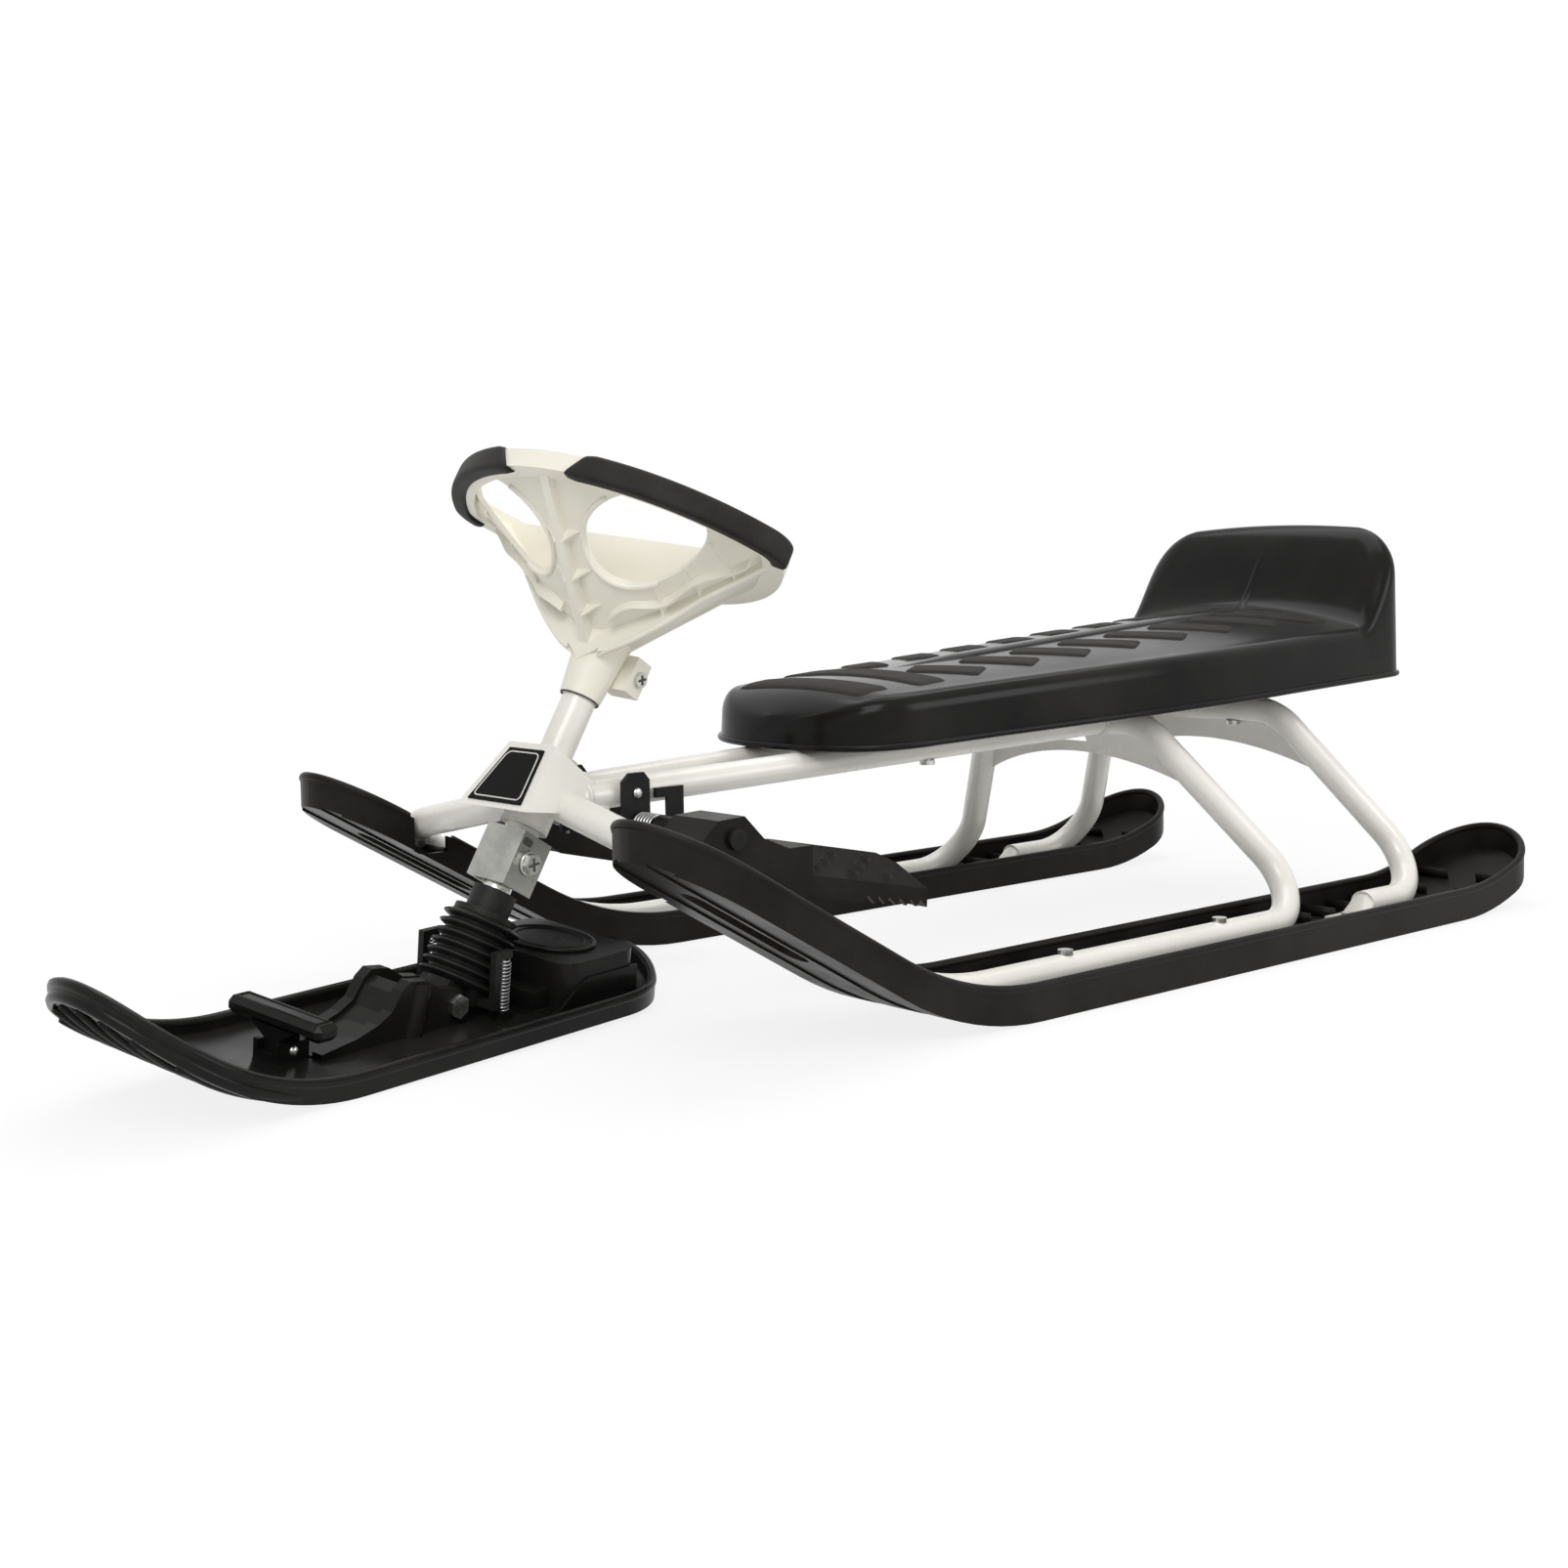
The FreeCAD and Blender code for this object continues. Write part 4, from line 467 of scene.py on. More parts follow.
def seat_ring(y, inset):
    """Half of a cross section in millimetres, from the lower edge over the shoulder to the middle."""
    rise = eased((y - back_from) / back_run)
    nose = held(1 - (y - seat_front) / nose_drop_run)
    stern = held(1 - (seat_rear - y) / stern_drop_run)
    top = top_height + top_growth * (y - seat_front) / seat_length + back_height * rise
    top -= nose_drop * nose ** 2 + stern_drop * stern ** 2 + inset
    low = seat_low(y)
    half = max(seat_half(y) - inset, least_half * seat_half(y))
    shoulder = min(shoulder_wide + shoulder_wide_back * rise, half * shoulder_share)
    fall = min(shoulder_fall + shoulder_fall_back * rise, (top - low) * fall_share)
    crest = half - wall_lean - shoulder
    crown = (front_crown + rear_crown * held(y / rear_crown_at)) * eased((y - seat_front) / crown_run)
    crown = edge_crown + crown * (1 - rise)
    ring = []
    for k in range(wall_steps):
        up = k / wall_steps
        ring.append(Vector((half - wall_lean * up, y, low + (top - fall - low) * up)))
    for k in range(shoulder_steps + 1):
        wide, tall = round_at(k / shoulder_steps / 4, 1)
        ring.append(Vector((crest + shoulder * wide, y, top - fall + fall * tall)))
    for k in range(1, crown_steps + 1):
        out = 1 - k / crown_steps
        ring.append(Vector((crest * out, y, top + crown * (1 - out ** 2))))
    return ring


def along_seat(share):
    """Station at a share of the seat's length, with stations closer together at both ends."""
    return seat_front + seat_end_gap + (seat_length - 2 * seat_end_gap) * (1 - math.cos(math.pi * share)) / 2


def mirrored(spot):
    """The same point on the sled's other side."""
    return Vector((-spot.x, spot.y, spot.z))


verts = []
inner_step = 0.02
inner_gap = seat_end_gap + seat_wall
for k in range(seat_stations + 1):
    y = along_seat(k / seat_stations)
    inner_y = max(y, seat_front + inner_gap + inner_step * k)
    inner_y = min(inner_y, seat_rear - inner_gap - inner_step * (seat_stations - k))
    outer = seat_ring(y, 0)
    inner = seat_ring(inner_y, seat_wall)
    loop = outer + [mirrored(v) for v in reversed(outer[:-1])]
    loop += [mirrored(v) for v in inner] + list(reversed(inner[:-1]))
    verts += [v * mm for v in loop]
around = len(verts) // (seat_stations + 1)
faces = []
for k in range(seat_stations):
    a = k * around
    b = a + around
    faces += [(a + j, b + j, b + (j + 1) % around, a + (j + 1) % around) for j in range(around)]
half_around = around // 2
stern_cap = seat_stations * around
for cap in (range(half_around), range(half_around, around), (0, half_around - 1, half_around, around - 1)):
    faces += [tuple(cap), tuple(stern_cap + j for j in reversed(cap))]
seat_skin = piece("seat_skin", verts, faces, seat_black, "chassis", "black_gloss")
seat_skin.data.set_sharp_from_angle(angle=sharp_from)
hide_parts("seat_shell")
seat_tree = BVHTree.FromPolygons(verts, faces)

# Seat pads: grained fields that stand a little proud of the shell's top and are moulded in one with it.
# Two lie across the front, and slanted pairs run from there to the back on both sides of a smooth ridge.
pad_black = finish_of("seat_pad_grain", (0.018, 0.017, 0.016), (0.034, 0.031, 0.028),
                      patch=60, grain=1300, bump=0.9, smooth=0.55, rough=0.75, shine=0.1)
pad_lifts = (-0.8 * mm, 1.2 * mm, 1.6 * mm)
pad_corner_u = 0.16
pad_corner_v = 0.32
front_pads = ((-30, 0), (22, 54))
front_pad_margin = 22
front_pad_ease = 8
rear_pad_margin = 26
pad_way = Vector((0.855, 0.519))
pad_square = Vector((-0.519, 0.855))
pad_half = 15.5
pad_pairs = 8
pad_inner = Vector((20, 68))
pad_pitch = Vector((0, 57.5))
pad_length = 60
pad_growth = 2.5
last_pad = [Vector((14, 449)), Vector((97, 484)), Vector((103, 503)), Vector((14, 500))]
ridge_from = 48
ridge_run = 512
ridge_steps = 79
ridge_sink = Vector((0, 0, 1.5 * mm))
ridge_thin = 1.6 * mm
ridge_wide = 10.4 * mm
ridge_front_fade = 14
ridge_rear_fade = 12
ridge_slim = 0.45
ridge_slim_from = 58
lip_r = 2.6 * mm
lip_up = 2.4
lip_steps = 90


def pad(name, corners):
    """Raised pad between four (x, y) corners in millimetres, round from the front one with the lower x."""
    steps_u = 26
    steps_v = 14
    verts = []
    for i in range(steps_u + 1):
        for j in range(steps_v + 1):
            u = 2 * i / steps_u - 1
            v = 2 * j / steps_v - 1
            in_u = max(0.0, (abs(u) - 1 + pad_corner_u) / pad_corner_u)
            in_v = max(0.0, (abs(v) - 1 + pad_corner_v) / pad_corner_v)
            if in_u > 0 and in_v > 0:
                scale = max(in_u, in_v) / math.hypot(in_u, in_v)
                u = math.copysign(1 - pad_corner_u + in_u * scale * pad_corner_u, u)
                v = math.copysign(1 - pad_corner_v + in_v * scale * pad_corner_v, v)
            front = corners[0].lerp(corners[1], (u + 1) / 2)
            rear = corners[3].lerp(corners[2], (u + 1) / 2)
            spot = front.lerp(rear, (v + 1) / 2) * mm
            edge = min(i, steps_u - i, j, steps_v - j)
            lift = Vector((0, 0, pad_lifts[min(edge, 2)]))
            verts.append(drop_on(seat_tree, spot.x, spot.y) + lift)
    row = steps_v + 1
    faces = [(i * row + j, (i + 1) * row + j, (i + 1) * row + j + 1, i * row + j + 1)
             for i in range(steps_u) for j in range(steps_v)]
    return piece(name, verts, faces, pad_black, "chassis", "black_gloss")


for k, (y0, y1) in enumerate(front_pads):
    front_w = seat_half(y0 + front_pad_ease) - front_pad_margin
    rear_w = seat_half(y1) - rear_pad_margin
    pad("front_pad_%d" % k, [Vector(p) for p in ((-front_w, y0), (front_w, y0), (rear_w, y1), (-rear_w, y1))])
for k in range(pad_pairs):
    inner = pad_inner + pad_pitch * k
    outer = inner + pad_way * (pad_length + pad_growth * k)
    wide = pad_square * pad_half
    spots = [inner - wide, outer - wide, outer + wide, inner + wide]
    if k == pad_pairs - 1:
        spots = last_pad
    pad("left_pad_%d" % k, spots)
    pad("right_pad_%d" % k, [Vector((-spots[j].x, spots[j].y)) for j in (1, 0, 3, 2)])
ridge = []
ridge_w = []
for k in range(ridge_steps + 1):
    y = (ridge_from + ridge_run * k / ridge_steps) * mm
    ridge.append(drop_on(seat_tree, 0, y) - ridge_sink)
    fade = min(1.0, k / ridge_front_fade, (ridge_steps - k) / ridge_rear_fade)
    slim = 1 - ridge_slim * max(0.0, (k - ridge_slim_from) / (ridge_steps - ridge_slim_from))
    ridge_w.append(ridge_thin + ridge_wide * fade * slim)
piece("seat_ridge", *swept(ridge, ridge_w, sides=20, flat=0.36), seat_black, "chassis", "black_gloss")
edge_y = [along_seat(k / lip_steps) for k in range(lip_steps + 1)]
lip = [Vector((seat_half(y), y, seat_low(y) + lip_up)) * mm for y in edge_y]
lip += [mirrored(v) for v in reversed(lip)]
piece("seat_lip", *swept(lip, lip_r, sides=10, closed=True), seat_black, "chassis", "black_gloss")

# Head plate: a plain black plate of thin plastic, fixed on the sloping front of the pressed white saddle.
# A thin pale line with rounded corners runs just inside its edge.
plate_black = finish_of("plate_black", (0.005, 0.005, 0.005), (0.009, 0.009, 0.008),
                        patch=30, grain=900, bump=0.04, smooth=0.42, rough=0.56, shine=0.03)
line_white = finish_of("plate_line", (0.72, 0.71, 0.67), (0.62, 0.61, 0.57),
                       patch=40, grain=700, bump=0.05, smooth=0.35, rough=0.5)
dress(plate_black, "head_plate")
saddle_top = Vector((0, -266.73, 188)) * mm
saddle_low = Vector((0, -300.73, 148)) * mm
saddle_out = Vector((0, -0.762, 0.648))
saddle_half = 27 * mm
saddle_flare = 14 * mm
line_lift = 1.0 * mm
line_r = 0.55 * mm
line_corner = 5 * mm
line_corner_steps = 6
line_places = ((-0.63, 0.16), (0.63, 0.16), (0.72, 0.86), (-0.72, 0.86))
corners = []
for share, down in line_places:
    spot = saddle_top + (saddle_low - saddle_top) * down + saddle_out * line_lift
    corners.append(Vector((share * (saddle_half + saddle_flare * down), spot.y, spot.z)))
line = []
for k in range(4):
    before, corner, after = corners[k - 1], corners[k], corners[(k + 1) % 4]
    first = corner + (before - corner).normalized() * line_corner
    last = corner + (after - corner).normalized() * line_corner
    for j in range(line_corner_steps + 1):
        s = j / line_corner_steps
        line.append(first * (1 - s) ** 2 + corner * 2 * s * (1 - s) + last * s ** 2)
piece("plate_line", *swept(line, line_r, sides=8, closed=True), line_white, "chassis", "black_matte")

# Brakes: black enamelled steel brackets riveted to the rails, with pedals that turn on pins against springs.
# The pedals are moulded in polyethylene, with bumps for the boot and a toothed lower edge.
black_enamel = finish_of("black_enamel", (0.01, 0.01, 0.01), (0.02, 0.019, 0.018),
                         patch=40, grain=600, bump=0.06, smooth=0.22, rough=0.38, shine=0.1)
pedal_black = finish_of("pedal_polyethylene", (0.009, 0.0083, 0.0075), (0.017, 0.0155, 0.014),
                        patch=22, grain=1000, bump=0.1, smooth=0.24, rough=0.44, shine=0.09)
spring_steel = finish_of("spring_steel", (0.42, 0.42, 0.42), (0.27, 0.27, 0.27),
                         patch=140, grain=900, bump=0.1, smooth=0.24, rough=0.4, metal=1.0)
dress(black_enamel, "left_brake_bracket", "right_brake_bracket", "brake_pins")
dress(pedal_black, "left_brake_pedal", "right_brake_pedal")
brake_coil_r = 8 * mm
brake_wire_r = 1.25 * mm
brake_end = 1.4 * mm
brake_turns = 6
brake_turn_steps = 22
first_leg = Vector((0, 0, -16 * mm))
last_leg = Vector((0, 0, -14 * mm))
for word in ("left", "right"):
    low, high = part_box(word + "_brake_spring")
    middle = (low + high) / 2
    coil = []
    for k in range(brake_turns * brake_turn_steps + 1):
        x = low.x + brake_end + (high.x - low.x - 2 * brake_end) * k / (brake_turns * brake_turn_steps)
        y, z = round_at(k / brake_turn_steps, brake_coil_r)
        coil.append(Vector((x, middle.y + y, middle.z + z)))
    coil = [coil[0] + first_leg] + coil + [coil[-1] + last_leg]
    wire_shape = swept(coil, brake_wire_r, sides=8)
    made = piece(word + "_brake_coil", *wire_shape, spring_steel, "chassis", "spring_steel")
    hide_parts(word + "_brake_spring")
rivet_head = 2
rivet_steps = ((-8, 3), (0, 3), (0.05, 3.5), (1.2, 3.5), (1.8, 2.4), (rivet_head, 1))
rivet_shape = swept([Vector((x, 0, 0)) for x, r in rivet_steps], [r for x, r in rivet_steps], sides=20)
low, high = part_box("bracket_rivets")
rivet_x = high.x - rivet_head * mm
middle = (low + high) / 2
rivets = [((side * rivet_x, middle.y, middle.z), (0, 0, turn), (mm, mm, mm))
          for side, turn in ((1, 0), (-1, math.pi))]
made = repeated("rivet_heads", rivet_shape, rivets, zinc, "chassis")
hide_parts("bracket_rivets")

# Wheel grips: soft black rubber sleeves pushed over both sides of the wheel's rim, with slanted front ends.
# The rim is a wide front arc and a flatter rear arc, joined by round corners, square to the raked column.
grip_black = finish_of("grip_rubber", (0.014, 0.013, 0.012), (0.028, 0.026, 0.024),
                       patch=30, grain=1500, bump=0.35, smooth=0.42, rough=0.6, shine=0.12)
steer_at = Vector((0, -286.7135, 112)) * mm
steer_way = Vector((0, 0.5, math.sqrt(0.75)))
steer_turn = Matrix.Rotation(math.radians(14), 3, steer_way)
wheel_x = steer_turn @ Vector((1, 0, 0))
wheel_w = steer_turn @ Vector((0, math.sqrt(0.75), -0.5))
rim_side_x = 146
rim_side_w = -36
rim_front_w = -128
rim_rear_w = 62
rim_corner = 24
grip_up = 234.5
grip_in = 3.2
grip_sizes = (5.2 * mm, 5.6 * mm, 5.9 * mm)
grip_sides = 32
grip_gap = 31
grip_rear_end = -22
slant_run = 30 * mm
slant_out = 7
slant_half = 9
slant_stations = 12
front_steps = 39
corner_steps = 24
rear_steps = 20
rear_step_turn = 0.012


def on_wheel(x, w, s):
    """Point from millimetres across, back and up the steering axis."""
    return steer_at + wheel_x * (x * mm) + wheel_w * (w * mm) + steer_way * (s * mm)


def arc_middle(end_w):
    """Middle of the rim's arc that passes through its sides and an end, across the wheel."""
    return (rim_side_x ** 2 + rim_side_w ** 2 - end_w ** 2) / (2 * (rim_side_w - end_w))


front_mid = arc_middle(rim_front_w)
rear_mid = arc_middle(rim_rear_w)
front_r = front_mid - rim_front_w
rear_r = rim_rear_w - rear_mid
mid_gap = front_mid - rear_mid
to_front = front_r - rim_corner
to_rear = rear_r - rim_corner
corner_w = rear_mid + (to_rear ** 2 - to_front ** 2 + mid_gap ** 2) / (2 * mid_gap)
corner_x = math.sqrt(to_rear ** 2 - (corner_w - rear_mid) ** 2)
front_turn = math.atan2(corner_x, front_mid - corner_w)
rear_turn = math.atan2(corner_x, corner_w - rear_mid)
first_turn = math.asin(grip_gap / (front_r - grip_in))
grip_path = []
for k in range(front_steps + 1):
    turn = first_turn + (front_turn - first_turn) * k / front_steps
    reach = front_r - grip_in
    grip_path.append((reach * math.sin(turn), front_mid - reach * math.cos(turn)))
for k in range(1, corner_steps):
    turn = front_turn + (math.pi - rear_turn - front_turn) * k / corner_steps
    reach = rim_corner - grip_in
    grip_path.append((corner_x + reach * math.sin(turn), corner_w - reach * math.cos(turn)))
for k in range(rear_steps):
    turn = rear_turn - rear_step_turn * k
    reach = rear_r - grip_in
    spot = (reach * math.sin(turn), rear_mid + reach * math.cos(turn))
    if spot[1] < grip_rear_end:
        grip_path.append(spot)
grip_size = [grip_sizes[min(k, len(grip_path) - 1 - k, 2)] for k in range(len(grip_path))]
for side, word in ((1, "left"), (-1, "right")):
    line = [on_wheel(x * side, w, grip_up) for x, w in grip_path]
    verts, faces = swept(line, grip_size, grip_sides, flat=1.5, up=steer_way, power=0.42)
    for k in range(slant_stations):
        heading = (line[k + 1] - line[k]).normalized()
        slant = slant_out * max(0.0, 1 - (line[k] - line[0]).length / slant_run)
        for j in range(k * grip_sides, (k + 1) * grip_sides):
            height = (verts[j] - line[k]).dot(steer_way)
            verts[j] = verts[j] + heading * (slant * height / slant_half)
    made = piece(word + "_grip_sleeve", verts, faces, grip_black, "steering", "black_matte")
    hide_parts(word + "_grip")

# Steering wheel: an ivory moulded bowl with two windows, on a hub that is screwed to the column.
# A wing below carries the rim's sides. Ribs and gussets under the bowl and beads along the wing and the
# windows stiffen the moulding.
ivory = finish_of("wheel_ivory", (0.83, 0.8, 0.7), (0.77, 0.74, 0.64),
                  patch=12, grain=800, bump=0.06, smooth=0.3, rough=0.46)
dress(ivory, "wheel_body")
wheel_tree = tree_of("wheel_body")
wing_w = -16
wing_root = 142
wing_rise = 94
wing_end = 131
wing_sag = 6
sag_share = 0.62
skirt_from = 14
skirt_run = 116
skirt_steps = 40
skirt_top = 3
skirt_thick = Vector((0, 1.9, 0))
across_thick = Vector((1.0, 0, 0))
along_thick = Vector((0, 1.0, 0))
bury = Vector((0, 0, 1.5))
cross_rib_x = (34, 57, 80, 102)
cross_rib_gap = 1
cross_rib_step = 1.5
cross_rib_steps = 26
cross_rib_top = 226
cross_rib_jump = 6
cross_rib_shortest = 4
cross_rib_least = 2
cross_rib_tip = 3
cross_rib_curve = 0.6
wavy_from = 22
wavy_run = 98
wavy_w = -28.5
wavy_swing = 3.2
wavy_steps = 48
wavy_wave_steps = 12
wavy_top = 230
wavy_tall = 8.5
wavy_ripple = 1.5
wavy_ripple_run = 9
gusset_w = (-34, -56, -80)
gusset_from = 3
gusset_step = 1.6
gusset_steps = 8
gusset_aside = 0.6
gusset_least = 1
gusset_tall = 9
gusset_curve = 1.6
wing_bead_from = 4
wing_bead_run = 124
wing_bead_steps = 50
wing_bead_in = 5
wing_bead_in_run = 18
wing_bead_thin = 0.8 * mm
wing_bead_more = 1.5 * mm
wing_bead_full_from = 8
wing_bead_full_run = 14
window_x = 60
window_w = -70
window_half_x = 45.4
window_half_w = 31.4
window_steps = 120
window_top = 226.5
window_bead_r = 1.9 * mm


def under_bowl(x, w):
    """Height of the wheel's underside up the steering axis, in millimetres, or None in a window."""
    below = 60
    hit = wheel_tree.ray_cast(on_wheel(x, w, below), steer_way)[0]
    return (hit - steer_at).dot(steer_way) / mm if hit is not None else None


def wing_line(x):
    """Straight line from the hub to the rim's side, as a height up the steering axis."""
    return wing_root + wing_rise * abs(x) / wing_end


def wing_low(x):
    """Lower edge of the wing, which hangs a little below that line."""
    return wing_line(x) - wing_sag * math.sin(math.pi * min(1.0, abs(x) / wing_end / sag_share))


def add_plate(verts, faces, upper, lower, thick):
    """Adds a thin plate between two rows of wheel points, with its thickness along a wheel direction."""
    base = len(verts)
    for top, low in zip(upper, lower):
        verts += [on_wheel(*spot) for spot in (top + thick, low + thick, low - thick, top - thick)]
    for k in range(len(upper) - 1):
        a = base + 4 * k
        faces += [(a + j, a + 4 + j, a + 4 + (j + 1) % 4, a + (j + 1) % 4) for j in range(4)]
    last = base + 4 * (len(upper) - 1)
    faces += [tuple(base + j for j in range(4)), tuple(last + j for j in reversed(range(4)))]


verts = []
faces = []
for side in (1, -1):
    steps = [side * (skirt_from + skirt_run * k / skirt_steps) for k in range(skirt_steps + 1)]
    add_plate(verts, faces, [Vector((x, wing_w, wing_line(x) + skirt_top)) for x in steps],
              [Vector((x, wing_w, wing_low(x))) for x in steps], skirt_thick)
    for x in cross_rib_x:
        run = []
        for k in range(cross_rib_steps):
            w = wing_w - cross_rib_gap - cross_rib_step * k
            top = under_bowl(side * x, w)
            if top is None or top > cross_rib_top or (run and abs(top - run[-1].z) > cross_rib_jump):
                break
            run.append(Vector((side * x, w, top + bury.z)))
        if len(run) < cross_rib_shortest:
            continue
        foot = wing_low(x)
        low = []
        for k, p in enumerate(run):
            share = k / (len(run) - 1)
            line_z = foot + (run[-1].z - cross_rib_tip - foot) * share ** cross_rib_curve
            low.append(Vector((p.x, p.y, min(p.z - cross_rib_least, line_z))))
        add_plate(verts, faces, run, low, across_thick)
    run = []
    for k in range(wavy_steps + 1):
        x = side * (wavy_from + wavy_run * k / wavy_steps)
        w = wavy_w - wavy_swing * math.sin(math.pi * k / wavy_wave_steps)
        top = under_bowl(x, w)
        if top is not None and top < wavy_top:
            run.append(Vector((x, w, top + bury.z)))
    low = [p - Vector((0, 0, wavy_tall + wavy_ripple * math.sin(p.x / wavy_ripple_run))) for p in run]
    add_plate(verts, faces, run, low, along_thick)
    for w in gusset_w:
        run = []
        low = []
        for k in range(gusset_steps + 1):
            x = gusset_from + gusset_step * k
            top = under_bowl(side * (x + gusset_aside), w)
            tall = gusset_least + gusset_tall * (1 - k / gusset_steps) ** gusset_curve
            run.append(Vector((side * x, w, top)) + bury)
            low.append(Vector((side * x, w, top - tall)))
        add_plate(verts, faces, run, low, along_thick)
piece("wheel_ribs", verts, faces, ivory, "steering", "white_plastic", smooth=False)
for side, word in ((1, "left"), (-1, "right")):
    bead = []
    bead_size = []
    for k in range(wing_bead_steps + 1):
        x = wing_bead_from + wing_bead_run * k / wing_bead_steps
        inwards = wing_bead_in * (1 - eased((x - wing_bead_from) / wing_bead_in_run))
        full = eased((x - wing_bead_full_from) / wing_bead_full_run)
        bead.append(on_wheel(side * x, wing_w + inwards, wing_low(x)))
        bead_size.append(wing_bead_thin + wing_bead_more * full)
    piece(word + "_wing_bead", *swept(bead, bead_size, sides=12), ivory, "steering", "white_plastic")
    runs = [[]]
    for k in range(window_steps):
        wide, deep = round_at(0.25 + k / window_steps, 1)
        spot = (side * (window_x + window_half_x * wide), window_w + window_half_w * deep)
        low = under_bowl(*spot)
        if low is not None and low < window_top:
            runs[-1].append(on_wheel(*spot, low))
        elif runs[-1]:
            runs.append([])
    bead = max(runs, key=len)
    piece(word + "_window_bead", *swept(bead, window_bead_r, sides=12), ivory, "steering", "white_plastic")

# Column seam: the fine dark gap where the wheel's ivory hub ends on the white steel column.
# It is a shadow line only, drawn as a thin ring round the column.
painted_shade = finish_of("seam_shade", (0.1, 0.09, 0.08), (0.06, 0.055, 0.05),
                      patch=40, grain=900, bump=0.05, smooth=0.6, rough=0.8, shine=0.2)
seam_ring = 13.6
seam_up = 119.4
seam_r = 0.45 * mm
seam_steps = 48
ring = [on_wheel(*round_at(k / seam_steps, seam_ring), seam_up) for k in range(seam_steps)]
piece("column_seam", *swept(ring, seam_r, sides=8, closed=True), painted_shade, "steering", "white_plastic")

# Strut clamp: a dull zinc-plated steel bracket with a slot, bolted through to hold the rod in the column.
# Its bolt and the wheel's screw have cross recesses, painted as dark bars of shade,
# and a round washer lies under the bolt.
dull_zinc = finish_of("dull_zinc", (0.42, 0.42, 0.385), (0.31, 0.315, 0.295),
                      patch=60, grain=600, bump=0.1, smooth=0.26, rough=0.44, metal=1.0)
dress(dull_zinc, "clamp_bracket")
recesses = (("wheel_screw_recess", Vector((28.9, 19.5, 148)), 3.4),
            ("clamp_bolt_recess", Vector((22.4, 0, 0)), 4.6))
recess_ways = (Vector((0, 0.8, 0.6)), Vector((0, -0.6, 0.8)))
recess_shares = (-1, -0.4, 0.4, 1)
recess_r = 0.9 * mm
washer_x = 17.9
washer_ring = 7.6
washer_r = 1.0 * mm
washer_steps = 40
slot_x = 17
slot_from = -13.5
slot_run = 10
slot_up = 12
slot_steps = 12
slot_sizes = (1.6 * mm, 2.4 * mm, 2.7 * mm)


def add_bar(verts, faces, points, radius, sides):
    """Adds a bar to the vertices and faces of a piece that is made of several."""
    bar_verts, bar_faces = swept(points, radius, sides)
    faces += [tuple(i + len(verts) for i in face) for face in bar_faces]
    verts += bar_verts


# The recesses are painted shade: dark bars laid on the heads where the cross-shaped holes lie in shade.
for name, spot, reach in recesses:
    verts = []
    faces = []
    for way in recess_ways:
        line = [on_wheel(*(spot + way * reach * share)) for share in recess_shares]
        add_bar(verts, faces, line, recess_r, sides=8)
    piece(name, verts, faces, painted_shade, "steering", "zinc")
washer = [on_wheel(washer_x, *round_at(k / washer_steps, washer_ring)) for k in range(washer_steps)]
piece("clamp_washer", *swept(washer, washer_r, sides=8, closed=True), zinc, "steering", "zinc")
# The slot is painted shade: a thin, flat dark bar on the bracket in place of the shade inside the slot.
slot_line = [on_wheel(slot_x, slot_from + slot_run * k / slot_steps, slot_up) for k in range(slot_steps + 1)]
slot_size = [slot_sizes[min(k, slot_steps - k, 2)] for k in range(slot_steps + 1)]
slot_shape = swept(slot_line, slot_size, sides=16, flat=0.12, up=wheel_x)
piece("clamp_slot", *slot_shape, painted_shade, "steering", "zinc")

# Bellows and foot: a ribbed black rubber boot with a collar, which keeps snow off the strut, over a moulded
# polyamide foot. The boot is made at one length and rides with the steering.
rubber = finish_of("bellows_rubber", (0.012, 0.0115, 0.011), (0.022, 0.021, 0.02),
                   patch=35, grain=1200, bump=0.16, smooth=0.3, rough=0.5, shine=0.14)
foot_black = finish_of("foot_polyamide", (0.011, 0.0105, 0.01), (0.022, 0.021, 0.02),
                       patch=30, grain=900, bump=0.1, smooth=0.28, rough=0.45, shine=0.12)
dress(rubber, "bellows_collar")
dress(foot_black, "strut_foot")
bellows_top = -44
bellows_low = -91
bellows_ribs = 7
bellows_rib_steps = 12
bellows_valley = 21.3
bellows_wave = 5.7
bellows_round = 0.8
bellows_wall = 1.6
bellows_sides = 48
rings = []
for k in range(bellows_ribs * bellows_rib_steps + 1):
    share = k / (bellows_ribs * bellows_rib_steps)
    wave = 0.5 - 0.5 * math.cos(2 * math.pi * share * bellows_ribs)
    height = bellows_low + (bellows_top - bellows_low) * share
    rings.append((height, bellows_valley + bellows_wave * wave ** bellows_round))
rings += [(s, r - bellows_wall) for s, r in reversed(rings)]
verts = []
faces = []
for k, (s, r) in enumerate(rings):
    verts += [on_wheel(*round_at(j / bellows_sides, r), s) for j in range(bellows_sides)]
    a = k * bellows_sides
    b = (k + 1) % len(rings) * bellows_sides
    faces += [(a + j, a + (j + 1) % bellows_sides, b + (j + 1) % bellows_sides, b + j)
              for j in range(bellows_sides)]
boot = piece("bellows_boot", verts, faces, rubber, "steering", "rubber")
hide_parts("bellows")
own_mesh(boot)

# Strut spring: a steel coil round the rod, inside the bellows, which carries the sled's front on the ski.
# It is wound from round wire, made at one length, and rides with the steering.
strut_coil_r = 15.7
strut_wire_r = 1.5 * mm
strut_coil_up = 2.7
strut_coil_tall = 41.6
strut_turns = 6
strut_turn_steps = 28
coil = []
for k in range(strut_turns * strut_turn_steps + 1):
    height = bellows_low + strut_coil_up + strut_coil_tall * k / (strut_turns * strut_turn_steps)
    coil.append(on_wheel(*round_at(k / strut_turn_steps, strut_coil_r), height))
wire_shape = swept(coil, strut_wire_r, sides=8)
inner_coil = piece("strut_coil", *wire_shape, spring_steel, "steering", "spring_steel")
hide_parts("strut_spring")
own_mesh(inner_coil)

